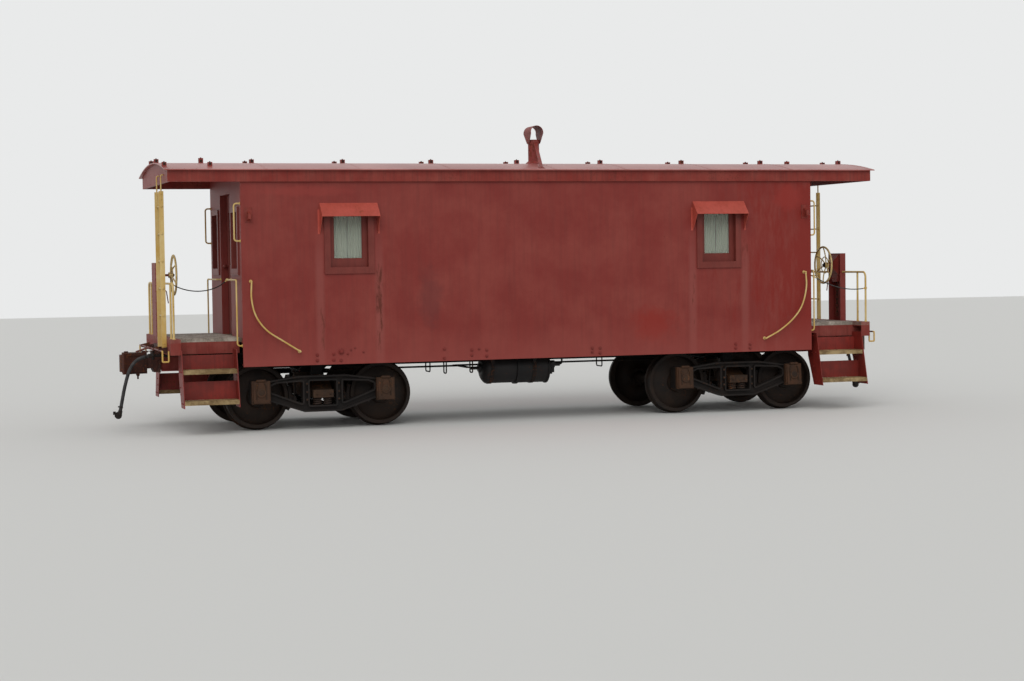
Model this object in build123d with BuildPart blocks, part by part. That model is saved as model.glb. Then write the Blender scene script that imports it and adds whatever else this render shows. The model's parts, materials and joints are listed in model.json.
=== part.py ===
"""Steel sided caboose on two four wheeled trucks, in millimetres.

The origin is on the ground under the middle of the car, where the wheel flanges stand.
X runs along the car, Y across it and Z up. The near side is -Y, the west end is -X.
Turned half round about Z the car looks the same, so each end has its ladder on one
side and its hand brake on the other.
"""
from math import atan2, cos, radians, sin, sqrt, tan
import os

from build123d import *

os.makedirs("parts", exist_ok=True)

# Running clearances and seats
seat_gap = 0.3        # between pieces that rest on each other
journal_gap = 0.1     # round a journal in its bearing
play = 6.0            # round what moves

# Body and roof
body_length = 8160
body_width = 2420
side_wall = 90
end_wall = 130
skin = 10             # side sheet where it hangs over the side sill
skirt_bottom = 865
floor_top = 1245
floor_thickness = 60
fascia_bottom = 3265
fascia_top = 3412
fascia_thickness = 35
roof_length = 10030
roof_rise = 135       # ridge over the eaves
roof_sheet = 12
roof_boards = 48
roof_overhang = 45    # sheet beyond the fascia

# Running gear
gauge_back = 1356     # between the backs of the flanges
wheel_radius = 419
flange_height = 25
flange_width = 34
rim_width = 140
wheelbase = 1676
truck_centres = 6000
axle_radius = 72
journal_radius = 64
journal_centre = 990
journal_length = 250
wheel_seat_radius = 88

# Train pipe under the floor, from the left of one end to the left of the other
pipe_line_radius = 21
pipe_line_y = 330
pipe_line_z = 1010

axle_height = wheel_radius + flange_height
half_body = body_length / 2
half_width = body_width / 2
half_roof = roof_length / 2
truck_x = truck_centres / 2
half_base = wheelbase / 2
fascia_face = half_width + fascia_thickness
eave_half = fascia_face + roof_overhang
eave_top = fascia_top + roof_sheet
roof_radius = (eave_half ** 2 + roof_rise ** 2) / (2 * roof_rise)
roof_centre_z = eave_top + roof_rise - roof_radius


def arch_height(y, depth):
    """Height of the roof arch at y, measured depth below the top of the sheet."""
    return roof_centre_z + sqrt((roof_radius - depth) ** 2 - y ** 2)


def rod(points, bend, diameter):
    """Round bar that runs through the points, with one radius at each corner."""
    with BuildPart() as bar:
        with BuildLine() as route:
            if len(points) == 2:
                Line(*points)
            else:
                FilletPolyline(*points, radius=bend)
        with BuildSketch(Plane(origin=route.line @ 0, z_dir=route.line % 0)):
            Circle(diameter / 2)
        sweep(path=route.line)
    return bar.part


def cord_radii(points):
    """Radius at each corner of a hanging line, as large as its two runs allow."""
    radii = []
    for before, corner, after in zip(points, points[1:], points[2:]):
        run_in = Vector(*corner) - Vector(*before)
        run_out = Vector(*after) - Vector(*corner)
        turn = radians(run_in.get_angle(run_out))
        radii.append(0.45 * min(run_in.length, run_out.length) / tan(turn / 2))
    return radii


def save(piece, name):
    """Label a finished piece and write it."""
    piece.part.label = name
    export_step(piece.part, f"parts/{name}.step")


# Underframe
centre_sill_bottom = 790
centre_sill_web = 165
centre_sill_plate = 14
centre_sill_flange = 75
centre_sill_top = floor_top - floor_thickness
side_sill_bottom = 885
side_sill_plate = 12
side_sill_flange = 80
end_sill_bottom = 1040
end_sill_depth = 135
end_sill_face = half_roof
end_sill_half = 1200
deck_thickness = 50
deck_half = 930
deck_bottom = floor_top - deck_thickness
bolster_half = 170
bolster_plate = 22
bolster_bottom = 742
bolster_end_bottom = 960
bearer_x = 1250
bearer_half = 60
bearer_drop = 60      # its bottom above that of the side sills
centre_plate_radius = 150
centre_plate_bottom = 700
pin_radius = 28
pin_bottom = 520
side_bearing_y = 640
side_bearing_bottom = 712
sill_outer = half_width - skin - seat_gap
centre_sill_end = end_sill_face - side_sill_plate - seat_gap
platform_beam_x = half_body + seat_gap


def centre_sill(room):
    """Two channels under a cover plate, grown by the room left round them."""
    with BuildPart() as beam:
        with BuildSketch(Plane.YZ.offset(-centre_sill_end - room)):
            with Locations((0, centre_sill_top - centre_sill_plate / 2)):
                Rectangle(2 * (centre_sill_web + centre_sill_flange + room), centre_sill_plate + 2 * room)
            web_top = centre_sill_top - centre_sill_plate - seat_gap
            for side in (-1, 1):
                web_middle = (centre_sill_bottom + web_top) / 2
                web_y = side * (centre_sill_web + centre_sill_plate / 2)
                flange_y = side * (centre_sill_web + centre_sill_flange / 2)
                with Locations((web_y, web_middle)):
                    Rectangle(centre_sill_plate + 2 * room, web_top - centre_sill_bottom + 2 * room)
                with Locations((flange_y, centre_sill_bottom + centre_sill_plate / 2)):
                    Rectangle(centre_sill_flange + 2 * room, centre_sill_plate + 2 * room)
        extrude(amount=2 * (centre_sill_end + room))
    return beam.part


def side_sills(room):
    """Channels that open inwards, grown by the room left round them."""
    sill_middle = (side_sill_bottom + centre_sill_top) / 2
    with BuildPart() as beams:
        with BuildSketch(Plane.YZ.offset(-half_body)):
            for side in (-1, 1):
                with Locations((side * (sill_outer - side_sill_plate / 2), sill_middle)):
                    Rectangle(side_sill_plate + 2 * room, centre_sill_top - side_sill_bottom + 2 * room)
                for height in (side_sill_bottom + side_sill_plate / 2, centre_sill_top - side_sill_plate / 2):
                    with Locations((side * (sill_outer - side_sill_flange / 2), height)):
                        Rectangle(side_sill_flange + 2 * room, side_sill_plate + 2 * room)
        extrude(amount=body_length)
    return beams.part


# The beams that cross the sills are cut round them, so each beam stays a solid of its own
with BuildPart() as cross_beams:
    # Body bolsters: a tapered web between two wide plates
    for middle in (-truck_x, truck_x):
        with BuildSketch(Plane.YZ.offset(middle)):
            with BuildLine():
                Polyline(
                    (-sill_outer, bolster_end_bottom),
                    (-centre_sill_web - centre_sill_flange, bolster_bottom),
                    (centre_sill_web + centre_sill_flange, bolster_bottom),
                    (sill_outer, bolster_end_bottom),
                    (sill_outer, centre_sill_top),
                    (-sill_outer, centre_sill_top),
                    close=True,
                )
            make_face()
        extrude(amount=bolster_plate, both=True)
        with BuildSketch(Plane.YZ.offset(middle)):
            with BuildLine():
                Polyline(
                    (-sill_outer, bolster_end_bottom),
                    (-centre_sill_web - centre_sill_flange, bolster_bottom),
                    (centre_sill_web + centre_sill_flange, bolster_bottom),
                    (sill_outer, bolster_end_bottom),
                    (sill_outer, bolster_end_bottom + bolster_plate),
                    (centre_sill_web + centre_sill_flange, bolster_bottom + bolster_plate),
                    (-centre_sill_web - centre_sill_flange, bolster_bottom + bolster_plate),
                    (-sill_outer, bolster_end_bottom + bolster_plate),
                    close=True,
                )
            make_face()
        extrude(amount=bolster_half, both=True)
        with Locations((middle, 0, centre_sill_top - bolster_plate / 2)):
            Box(2 * bolster_half, 2 * sill_outer, bolster_plate)
        # Centre plate, king pin and side bearings
        plate_height = bolster_bottom - centre_plate_bottom
        with Locations((middle, 0, centre_plate_bottom + plate_height / 2)):
            Cylinder(centre_plate_radius, plate_height)
        pin_height = bolster_bottom - pin_bottom
        with Locations((middle, 0, pin_bottom + pin_height / 2)):
            Cylinder(pin_radius, pin_height)
        for side in (-1, 1):
            bearing_height = bolster_end_bottom - side_bearing_bottom
            with Locations((middle, side * side_bearing_y, side_bearing_bottom + bearing_height / 2)):
                Box(140, 90, bearing_height)
    # Cross bearers
    for middle in (-bearer_x, bearer_x):
        for height in (side_sill_bottom + bearer_drop, centre_sill_top - side_sill_plate):
            with Locations((middle, 0, height + side_sill_plate / 2)):
                Box(2 * bearer_half, 2 * sill_outer, side_sill_plate)
        with Locations((middle, 0, (side_sill_bottom + bearer_drop + centre_sill_top) / 2)):
            Box(side_sill_plate, 2 * sill_outer, centre_sill_top - side_sill_bottom - bearer_drop)
    # Platform end sills with closed ends, and the beams at the platform's sides
    for end in (-1, 1):
        sill_height = deck_bottom - end_sill_bottom
        sill_z = end_sill_bottom + sill_height / 2
        with Locations((end * (end_sill_face - side_sill_plate / 2), 0, sill_z)):
            Box(side_sill_plate, 2 * end_sill_half, sill_height)
        for height in (end_sill_bottom + side_sill_plate / 2, deck_bottom - side_sill_plate / 2):
            with Locations((end * (end_sill_face - end_sill_depth / 2), 0, height)):
                Box(end_sill_depth, 2 * end_sill_half, side_sill_plate)
        for side in (-1, 1):
            with Locations(
                (end * (end_sill_face - end_sill_depth / 2), side * (end_sill_half - side_sill_plate / 2), sill_z)
            ):
                Box(end_sill_depth, side_sill_plate, sill_height)
            beam_length = end_sill_face - side_sill_plate - platform_beam_x
            beam_x = end * (platform_beam_x + beam_length / 2)
            with Locations((beam_x, side * (deck_half - side_sill_plate / 2), sill_z)):
                Box(beam_length, side_sill_plate, sill_height)
            for height in (end_sill_bottom + side_sill_plate / 2, deck_bottom - side_sill_plate / 2):
                with Locations((beam_x, side * (deck_half - side_sill_flange / 2), height)):
                    Box(beam_length, side_sill_flange, side_sill_plate)
    add(centre_sill(seat_gap), mode=Mode.SUBTRACT)
    add(side_sills(seat_gap), mode=Mode.SUBTRACT)
with BuildPart() as underframe:
    add(centre_sill(0))
    add(side_sills(0))
    add(cross_beams.part)
    # Holes that the train pipe passes
    for end in (-1, 1):
        with BuildSketch(Plane.YZ):
            with Locations((end * pipe_line_y, pipe_line_z)):
                Circle(pipe_line_radius + seat_gap)
        extrude(amount=end * truck_centres, mode=Mode.SUBTRACT)
    with BuildSketch(Plane.XZ.offset(-pipe_line_y)):
        with Locations((0, pipe_line_z)):
            Circle(pipe_line_radius + seat_gap)
    extrude(amount=2 * pipe_line_y, mode=Mode.SUBTRACT)
save(underframe, "underframe")

# Floor of the cabin and planked decks of the platforms
inner_width = half_width - side_wall
with BuildPart() as cabin_floor:
    with Locations((0, 0, floor_top - floor_thickness / 2)):
        Box(body_length, 2 * (inner_width - seat_gap), floor_thickness)
save(cabin_floor, "cabin_floor")

plank_width = 145
plank_gap = 6
plank_gap_depth = 8
with BuildPart() as platform_decks:
    for end in (-1, 1):
        deck_length = end_sill_face - half_body - seat_gap
        with Locations((end * (half_body + seat_gap + deck_length / 2), 0, floor_top - deck_thickness / 2)):
            Box(deck_length, 2 * deck_half, deck_thickness)
        with Locations((end * (end_sill_face - end_sill_depth / 2), 0, floor_top - deck_thickness / 2)):
            Box(end_sill_depth, 2 * end_sill_half, deck_thickness)
        joints = int((deck_length - plank_gap) // plank_width)
        for number in range(1, joints + 1):
            joint_x = end * (end_sill_face - number * plank_width)
            with Locations((joint_x, 0, floor_top - plank_gap_depth / 2)):
                Box(plank_gap, 2 * end_sill_half, plank_gap_depth, mode=Mode.SUBTRACT)
save(platform_decks, "platform_decks")

# Windows, the same kind in the sides and the ends
casing_bottom = 2055
casing_top = 2950
casing_proud = 20
sash_bottom = 2142
sash_top = 2880
sash_rail = 60
sash_bottom_rail = 108
sash_thickness = 36
glass_thickness = 6
sash_recess = 78      # face of the sash behind the face of the casing
side_window_x = 2650
side_casing_width = 670
side_sash_width = 510
end_window_y = 770
end_casing_width = 560
end_sash_width = 420
lining = 8            # boards round the opening, through the wall

# Doors
door_opening_half = 385
door_opening_top = 3140
door_gap = 5
door_thickness = 42

# name, plane on the outer face with its normal outwards, casing width, sash width, wall
side_windows = [
    (Plane(origin=(x, side * half_width, 0), x_dir=(-side, 0, 0), z_dir=(0, side, 0)),
     side_casing_width, side_sash_width, side_wall)
    for side in (-1, 1)
    for x in (-side_window_x, side_window_x)
]
end_windows = [
    (Plane(origin=(end * half_body, y, 0), x_dir=(0, end, 0), z_dir=(end, 0, 0)),
     end_casing_width, end_sash_width, end_wall)
    for end in (-1, 1)
    for y in (-end_window_y, end_window_y)
]
windows = side_windows + end_windows

# Side walls: a thick panel over the side sill and the sheet that hangs down in front of it
wall_top_outer = arch_height(half_width, roof_sheet + roof_boards) - seat_gap
wall_top_inner = arch_height(inner_width, roof_sheet + roof_boards) - seat_gap
with BuildPart() as side_walls:
    with BuildSketch(Plane.YZ.offset(-half_body)):
        for side in (-1, 1):
            with BuildLine():
                Polyline(
                    (side * half_width, skirt_bottom),
                    (side * half_width, wall_top_outer),
                    (side * inner_width, wall_top_inner),
                    (side * inner_width, centre_sill_top),
                    (side * (half_width - skin), centre_sill_top),
                    (side * (half_width - skin), skirt_bottom),
                    close=True,
                )
            make_face()
    extrude(amount=body_length)
    for plane, casing_width, sash_width, wall in side_windows:
        with BuildSketch(plane):
            with Locations((0, (sash_bottom + sash_top) / 2)):
                Rectangle(sash_width + 2 * lining, sash_top - sash_bottom + 2 * lining)
        extrude(amount=-2 * wall, mode=Mode.SUBTRACT)
save(side_walls, "side_walls")

# End walls between the side walls, with their doorway and two windows each
with BuildPart() as end_walls:
    for end in (-1, 1):
        wall_half = inner_width - seat_gap
        under_roof = roof_sheet + roof_boards + seat_gap
        with BuildSketch(Plane.YZ.offset(end * half_body)):
            with BuildLine():
                Line((-wall_half, arch_height(wall_half, under_roof)), (-wall_half, floor_top))
                Line((-wall_half, floor_top), (wall_half, floor_top))
                Line((wall_half, floor_top), (wall_half, arch_height(wall_half, under_roof)))
                ThreePointArc(
                    (wall_half, arch_height(wall_half, under_roof)),
                    (0, arch_height(0, under_roof)),
                    (-wall_half, arch_height(wall_half, under_roof)),
                )
            make_face()
            with Locations((0, (floor_top + door_opening_top) / 2)):
                Rectangle(2 * door_opening_half, door_opening_top - floor_top, mode=Mode.SUBTRACT)
        extrude(amount=-end * end_wall)
    for plane, casing_width, sash_width, wall in end_windows:
        with BuildSketch(plane):
            with Locations((0, (sash_bottom + sash_top) / 2)):
                Rectangle(sash_width + 2 * lining, sash_top - sash_bottom + 2 * lining)
        extrude(amount=-wall, mode=Mode.SUBTRACT)
save(end_walls, "end_walls")

# Window frames: casing on the outside, lining through the wall and the sash inside it
with BuildPart() as window_frames:
    for plane, casing_width, sash_width, wall in windows:
        sash_middle = (sash_bottom + sash_top) / 2
        sash_height = sash_top - sash_bottom
        with BuildSketch(plane.offset(seat_gap)):
            with Locations((0, (casing_bottom + casing_top) / 2)):
                Rectangle(casing_width, casing_top - casing_bottom)
            with Locations((0, sash_middle)):
                Rectangle(sash_width, sash_height, mode=Mode.SUBTRACT)
        extrude(amount=casing_proud)
        with BuildSketch(plane.offset(-wall)):
            with Locations((0, sash_middle)):
                Rectangle(sash_width + 2 * lining - 2 * seat_gap, sash_height + 2 * lining - 2 * seat_gap)
                Rectangle(sash_width, sash_height, mode=Mode.SUBTRACT)
        extrude(amount=wall + seat_gap)
        sash_face = casing_proud + seat_gap - sash_recess
        with BuildSketch(plane.offset(sash_face)):
            with Locations((0, sash_middle)):
                Rectangle(sash_width, sash_height)
            glass_bottom = sash_bottom + sash_bottom_rail
            glass_top = sash_top - sash_rail
            with Locations((0, (glass_bottom + glass_top) / 2)):
                Rectangle(sash_width - 2 * sash_rail, glass_top - glass_bottom, mode=Mode.SUBTRACT)
        extrude(amount=-sash_thickness)
save(window_frames, "window_frames")

with BuildPart() as window_glass:
    for plane, casing_width, sash_width, wall in windows:
        glass_bottom = sash_bottom + sash_bottom_rail
        glass_top = sash_top - sash_rail
        glass_face = casing_proud + seat_gap - sash_recess - (sash_thickness - glass_thickness) / 2
        with BuildSketch(plane.offset(glass_face)):
            with Locations((0, (glass_bottom + glass_top) / 2)):
                Rectangle(sash_width - 2 * sash_rail - 2 * seat_gap, glass_top - glass_bottom - 2 * seat_gap)
        extrude(amount=-glass_thickness)
save(window_glass, "window_glass")

# Curtains on their rods behind the side windows
curtain_depth = 16
curtain_face = casing_proud - sash_recess - sash_thickness
with BuildPart() as curtains:
    for plane, _, sash_width, _ in side_windows:
        with BuildSketch(plane.offset(curtain_face)):
            with Locations((0, (sash_bottom + sash_top) / 2)):
                Rectangle(sash_width + 40, sash_top - sash_bottom)
        extrude(amount=-curtain_depth)
save(curtains, "curtains")

# Hoods over the side windows, bent from sheet with a wing at each side
hood_half = 390
hood_top = 2985
hood_front = 2812
hood_reach = 165
hood_wing_foot = 2575
hood_sheet = 4
hood_slope = atan2(hood_top - hood_front, hood_reach)
with BuildPart() as window_hoods:
    for side in (-1, 1):
        for x in (-side_window_x, side_window_x):
            with BuildSketch(Plane.YZ.offset(x)):
                with BuildLine():
                    drop = hood_sheet / cos(hood_slope)
                    wall_y = side * (half_width + seat_gap)
                    tip_y = side * (half_width + hood_reach)
                    Polyline(
                        (wall_y, hood_top),
                        (tip_y, hood_front),
                        (tip_y, hood_front - drop),
                        (wall_y, hood_top - drop),
                        close=True,
                    )
                make_face()
            extrude(amount=hood_half, both=True)
            for wing in (-1, 1):
                with BuildSketch(Plane.YZ.offset(x + wing * (hood_half - hood_sheet / 2))):
                    with BuildLine():
                        Polyline((wall_y, hood_top - drop / 2), (tip_y, hood_front - drop / 2), (wall_y, hood_wing_foot), close=True)
                    make_face()
                extrude(amount=hood_sheet / 2, both=True)
save(window_hoods, "window_hoods")

# Roof: arched sheet on its boards
with BuildPart() as roof:
    sheet_edge = eave_top - roof_sheet
    boards_depth = roof_sheet + roof_boards
    board_half = half_width
    with BuildSketch(Plane.YZ.offset(-half_roof - roof_overhang)):
        with BuildLine():
            edge_low = arch_height(eave_half, roof_sheet)
            ThreePointArc((-eave_half, eave_top), (0, eave_top + roof_rise), (eave_half, eave_top))
            Line((eave_half, eave_top), (eave_half, edge_low))
            ThreePointArc((eave_half, edge_low), (0, arch_height(0, roof_sheet)), (-eave_half, edge_low))
            Line((-eave_half, edge_low), (-eave_half, eave_top))
        make_face()
    extrude(amount=2 * (half_roof + roof_overhang))
    with BuildSketch(Plane.YZ.offset(-half_roof + fascia_thickness + seat_gap)):
        with BuildLine():
            top_side = arch_height(board_half, roof_sheet - 1)
            low_side = arch_height(board_half, boards_depth)
            ThreePointArc((-board_half, top_side), (0, arch_height(0, roof_sheet - 1)), (board_half, top_side))
            Line((board_half, top_side), (board_half, low_side))
            ThreePointArc((board_half, low_side), (0, arch_height(0, boards_depth)), (-board_half, low_side))
            Line((-board_half, low_side), (-board_half, top_side))
        make_face()
    extrude(amount=2 * (half_roof - fascia_thickness - seat_gap))
save(roof, "roof")

# Fascia boards along the eaves and the arched boards across the ends
with BuildPart() as fascia:
    with BuildSketch(Plane.YZ.offset(-half_roof)):
        for side in (-1, 1):
            with BuildLine():
                inner_y = side * (half_width + seat_gap)
                outer_y = side * fascia_face
                inner_top = arch_height(half_width, roof_sheet) - seat_gap
                outer_top = arch_height(fascia_face, roof_sheet) - seat_gap
                Polyline(
                    (inner_y, fascia_bottom), (inner_y, inner_top), (outer_y, outer_top),
                    (outer_y, fascia_bottom), close=True,
                )
            make_face()
    extrude(amount=roof_length)
    for end in (-1, 1):
        with BuildSketch(Plane.YZ.offset(end * half_roof)):
            with BuildLine():
                joint_half = half_width + fascia_thickness / 2
                side_top = arch_height(joint_half, roof_sheet + seat_gap)
                Line((-joint_half, side_top), (-joint_half, fascia_bottom))
                Line((-joint_half, fascia_bottom), (joint_half, fascia_bottom))
                Line((joint_half, fascia_bottom), (joint_half, side_top))
                ThreePointArc((joint_half, side_top), (0, arch_height(0, roof_sheet + seat_gap)), (-joint_half, side_top))
            make_face()
        extrude(amount=-end * fascia_thickness)
save(fascia, "fascia")

# Saddles of the running board: pairs along the ridge, and those over the ladder
saddle_length = 58
saddle_height = 50
tall_saddle = 66
saddle_pitch = 1250
saddle_y = 250
ladder_saddle_x = -4430
ladder_saddle_y = -1000
saddle_end_x = -5 * saddle_pitch + 1230
# x, y, height; the east end has the same ones turned half round
saddles = [(-number * saddle_pitch, side * saddle_y, saddle_height) for number in range(1, 4) for side in (-1, 1)]
saddles += [
    (0, -saddle_y, saddle_height),
    (saddle_end_x, -saddle_y, saddle_height),
    (saddle_end_x, saddle_y, saddle_height),
    (saddle_end_x, ladder_saddle_y, saddle_height),
    (ladder_saddle_x, -saddle_y, tall_saddle),
    (ladder_saddle_x, ladder_saddle_y, saddle_height),
]
with BuildPart() as west_saddles:
    for x, y, height in saddles:
        with BuildSketch(Plane.YZ.offset(x)):
            with BuildLine():
                low_y = y - saddle_length / 2
                high_y = y + saddle_length / 2
                Polyline(
                    (low_y, arch_height(low_y, 0) + seat_gap), (high_y, arch_height(high_y, 0) + seat_gap),
                    (high_y, arch_height(y, 0) + height), (low_y, arch_height(y, 0) + height), close=True,
                )
            make_face()
        extrude(amount=saddle_length / 2, both=True)
with BuildPart() as roof_saddles:
    with PolarLocations(0, 2):
        add(west_saddles.part)
save(roof_saddles, "roof_saddles")

# Smoke pipe with its flashing, the bent hood over its mouth and a strap brace
pipe_x = 340
pipe_radius = 79
pipe_wall = 4
pipe_top = 3905
pipe_foot = arch_height(0, 0)
flash_radius = 120
flash_height = 45
hood_plate = 4
hood_arch_top = 4100
hood_arch_half = 92
hood_leg_foot = pipe_top - 55
hood_widest = 3990
hood_wide_half = 165
hood_foot_half = 32
brace_width = 46
brace_plate = 6
brace_foot = (60, -1150)
brace_foot_size = (70, 90)
brace_top_z = pipe_top - 40
with BuildPart() as pipe:
    with BuildSketch(Plane(origin=(pipe_x, 0, 0), x_dir=(1, 0, 0), z_dir=(0, -1, 0))):
        with BuildLine():
            Polyline(
                (pipe_radius - pipe_wall, pipe_foot + seat_gap), (flash_radius, pipe_foot + seat_gap),
                (flash_radius, pipe_foot + 10), (pipe_radius, pipe_foot + flash_height),
                (pipe_radius, pipe_top), (pipe_radius - pipe_wall, pipe_top), close=True,
            )
        make_face()
    revolve(axis=Axis(origin=(pipe_x, 0, 0), direction=(0, 0, 1)))
with BuildPart() as pipe_hood:
    # The strip follows an arch over the mouth, and its edges taper towards its feet
    with BuildSketch(Plane(origin=(pipe_x, 0, 0), x_dir=(1, 0, 0), z_dir=(0, -1, 0))):
        with BuildLine() as arch:
            Line((-pipe_radius - hood_plate / 2, hood_leg_foot), (-hood_arch_half, hood_arch_top - hood_arch_half))
            ThreePointArc(
                (-hood_arch_half, hood_arch_top - hood_arch_half), (0, hood_arch_top - hood_plate / 2),
                (hood_arch_half, hood_arch_top - hood_arch_half),
            )
            Line((hood_arch_half, hood_arch_top - hood_arch_half), (pipe_radius + hood_plate / 2, hood_leg_foot))
        trace(line_width=hood_plate)
    extrude(amount=hood_wide_half, both=True)
    with BuildSketch(Plane.YZ.offset(pipe_x)):
        with BuildLine():
            Polyline(
                (-hood_foot_half, hood_leg_foot - 20), (-hood_wide_half, hood_widest),
                (-hood_wide_half + 15, hood_arch_top + 10), (hood_wide_half - 15, hood_arch_top + 10),
                (hood_wide_half, hood_widest), (hood_foot_half, hood_leg_foot - 20), close=True,
            )
        make_face()
    extrude(amount=2 * hood_arch_half, both=True, mode=Mode.INTERSECT)
brace_top = Vector(pipe_x, -pipe_radius, brace_top_z)
roof_point = Vector(*brace_foot, arch_height(brace_foot[1], 0))
roof_plane = Plane(origin=roof_point, x_dir=(1, 0, 0), z_dir=(0, brace_foot[1], roof_point.Z - roof_centre_z))
with BuildPart() as brace:
    # A band round the pipe, the strap down from it and a foot flat on the roof
    with Locations((pipe_x, 0, brace_top_z)):
        Cylinder(pipe_radius + brace_plate, brace_width)
        Cylinder(pipe_radius - pipe_wall, brace_width, mode=Mode.SUBTRACT)
    with Locations(roof_plane.offset(seat_gap + brace_plate / 2)):
        Box(*brace_foot_size, brace_plate)
    along = roof_plane.offset(seat_gap + brace_plate).origin - brace_top
    with BuildSketch(Plane(origin=brace_top, x_dir=along.cross(Vector(0, 0, 1)), z_dir=along)):
        Rectangle(brace_width, brace_plate)
    extrude(amount=along.length)
with BuildPart() as smoke_stack:
    add(pipe.part)
    add(pipe_hood.part)
    add(brace.part)
save(smoke_stack, "smoke_stack")

# Doors with their panes, and the butt hinges that carry them inside the doorway
door_bottom = floor_top + door_gap
door_top = door_opening_top - door_gap
door_window_bottom = 2190
door_window_top = 2900
door_window_half = 220
door_panel_bottom = 1430
door_panel_top = 2010
door_panel_depth = 8
door_inner = half_body - end_wall
knob_radius = 28
knob_spindle = 11
knob_reach = 48
knob_height = 930
hinge_radius = 9
hinge_pin_radius = 4
hinge_pin_gap = 0.05
hinge_length = 100
hinge_knuckle = 40
hinge_leaf = 3
hinge_leaf_width = 34
hinge_heights = (1420, 2190, 2960)
hinge_x = door_inner - hinge_radius - hinge_leaf
hinge_y = door_opening_half - door_gap / 2
for name, end in (("west", -1), ("east", 1)):
    door_x = end * (door_inner + door_thickness / 2)
    door_face = end * door_inner
    with BuildPart() as door:
        with Locations((door_x, 0, (door_bottom + door_top) / 2)):
            Box(door_thickness, 2 * (door_opening_half - door_gap), door_top - door_bottom)
        with Locations((door_x, 0, (door_window_bottom + door_window_top) / 2)):
            Box(door_thickness, 2 * door_window_half, door_window_top - door_window_bottom, mode=Mode.SUBTRACT)
        for face in (-1, 1):
            with Locations((door_x + face * door_thickness / 2, 0, (door_panel_bottom + door_panel_top) / 2)):
                Box(2 * door_panel_depth, 2 * door_window_half, door_panel_top - door_panel_bottom, mode=Mode.SUBTRACT)
        knob_y = -end * (door_opening_half - door_gap - 60)
        with Locations(Plane(origin=(door_x, knob_y, floor_top + knob_height), z_dir=(1, 0, 0))):
            Cylinder(knob_spindle, door_thickness + 2 * knob_reach)
        for face in (-1, 1):
            with Locations((door_x + face * (door_thickness / 2 + knob_reach), knob_y, floor_top + knob_height)):
                Sphere(knob_radius)
        for height in hinge_heights:
            with Locations((door_face - end * hinge_leaf / 2, end * (hinge_y - (hinge_leaf_width + hinge_leaf) / 2), height)):
                Box(hinge_leaf, hinge_leaf_width - hinge_leaf, hinge_knuckle)
            with Locations((end * (hinge_x + (hinge_radius + hinge_leaf) / 2), end * (hinge_y - hinge_leaf), height)):
                Box(hinge_radius + hinge_leaf, hinge_leaf, hinge_knuckle)
            with Locations((end * hinge_x, end * hinge_y, height)):
                Cylinder(hinge_radius, hinge_knuckle)
                Cylinder(hinge_pin_radius + hinge_pin_gap, hinge_knuckle, mode=Mode.SUBTRACT)
    save(door, f"door_{name}")
    with BuildPart() as pane:
        with Locations((door_x, 0, (door_window_bottom + door_window_top) / 2)):
            Box(glass_thickness, 2 * (door_window_half - seat_gap), door_window_top - door_window_bottom - 2 * seat_gap)
    save(pane, f"door_glass_{name}")

hinge_jaw = (hinge_length - hinge_knuckle) / 2 - 1
with BuildPart() as west_hinges:
    for height in hinge_heights:
        for side in (-1, 1):
            jaw_z = height + side * (hinge_length - hinge_jaw) / 2
            with Locations((-door_inner + seat_gap + hinge_leaf / 2, -hinge_y - hinge_leaf_width / 2, jaw_z)):
                Box(hinge_leaf, hinge_leaf_width, hinge_jaw)
            with Locations((-hinge_x - (hinge_radius + hinge_leaf) / 2 + seat_gap, -hinge_y - hinge_leaf, jaw_z)):
                Box(hinge_radius + hinge_leaf, hinge_leaf, hinge_jaw)
            with Locations((-hinge_x, -hinge_y, jaw_z)):
                Cylinder(hinge_radius, hinge_jaw)
        with Locations((-hinge_x, -hinge_y, height)):
            Cylinder(hinge_pin_radius, hinge_length)
with BuildPart() as door_hinges:
    with PolarLocations(0, 2):
        add(west_hinges.part)
save(door_hinges, "door_hinges")

# Steps at the four corners: raked stringers, kick plates and treads
stringer_plate = 10
stringer_x = (half_body + 85, end_sill_face - end_sill_depth - stringer_plate / 2 - seat_gap)
stringer_top = 1100
stringer_foot = 360
stringer_edge = 1205      # outer edge at the top
stringer_foot_edge = 1390
stringer_foot_back = 1115
stringer_back_top = 780
kick_plate = 8
tread_thickness = 55
# top of the tread, its back edge, its nose, top of the kick plate behind it
treads = [
    (845, 995, 1250, 1028),
    (455, 1120, 1385, 690),
]
with BuildPart() as steps:
    for x in stringer_x:
        with BuildSketch(Plane.YZ.offset(x)):
            with BuildLine():
                Polyline(
                    (-deck_half - seat_gap, stringer_top), (-stringer_edge, stringer_top),
                    (-stringer_foot_edge, stringer_foot), (-stringer_foot_back, stringer_foot),
                    (-deck_half - seat_gap, stringer_back_top), close=True,
                )
            make_face()
        extrude(amount=stringer_plate / 2, both=True)
    for top, back, nose, kick_top in treads:
        kick_bottom = top + seat_gap
        with Locations((sum(stringer_x) / 2, -back + kick_plate / 2, (kick_bottom + kick_top) / 2)):
            Box(stringer_x[1] - stringer_x[0], kick_plate, kick_top - kick_bottom)
    mirror(about=Plane.XZ)
    mirror(about=Plane.YZ)
save(steps, "steps")

with BuildPart() as step_treads:
    for top, back, nose, kick_top in treads:
        tread_length = stringer_x[1] - stringer_x[0] - stringer_plate - 2 * seat_gap
        with Locations((sum(stringer_x) / 2, -(back + nose) / 2, top - tread_thickness / 2)):
            Box(tread_length, nose - back, tread_thickness)
    mirror(about=Plane.XZ)
    mirror(about=Plane.YZ)
save(step_treads, "step_treads")

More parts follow.
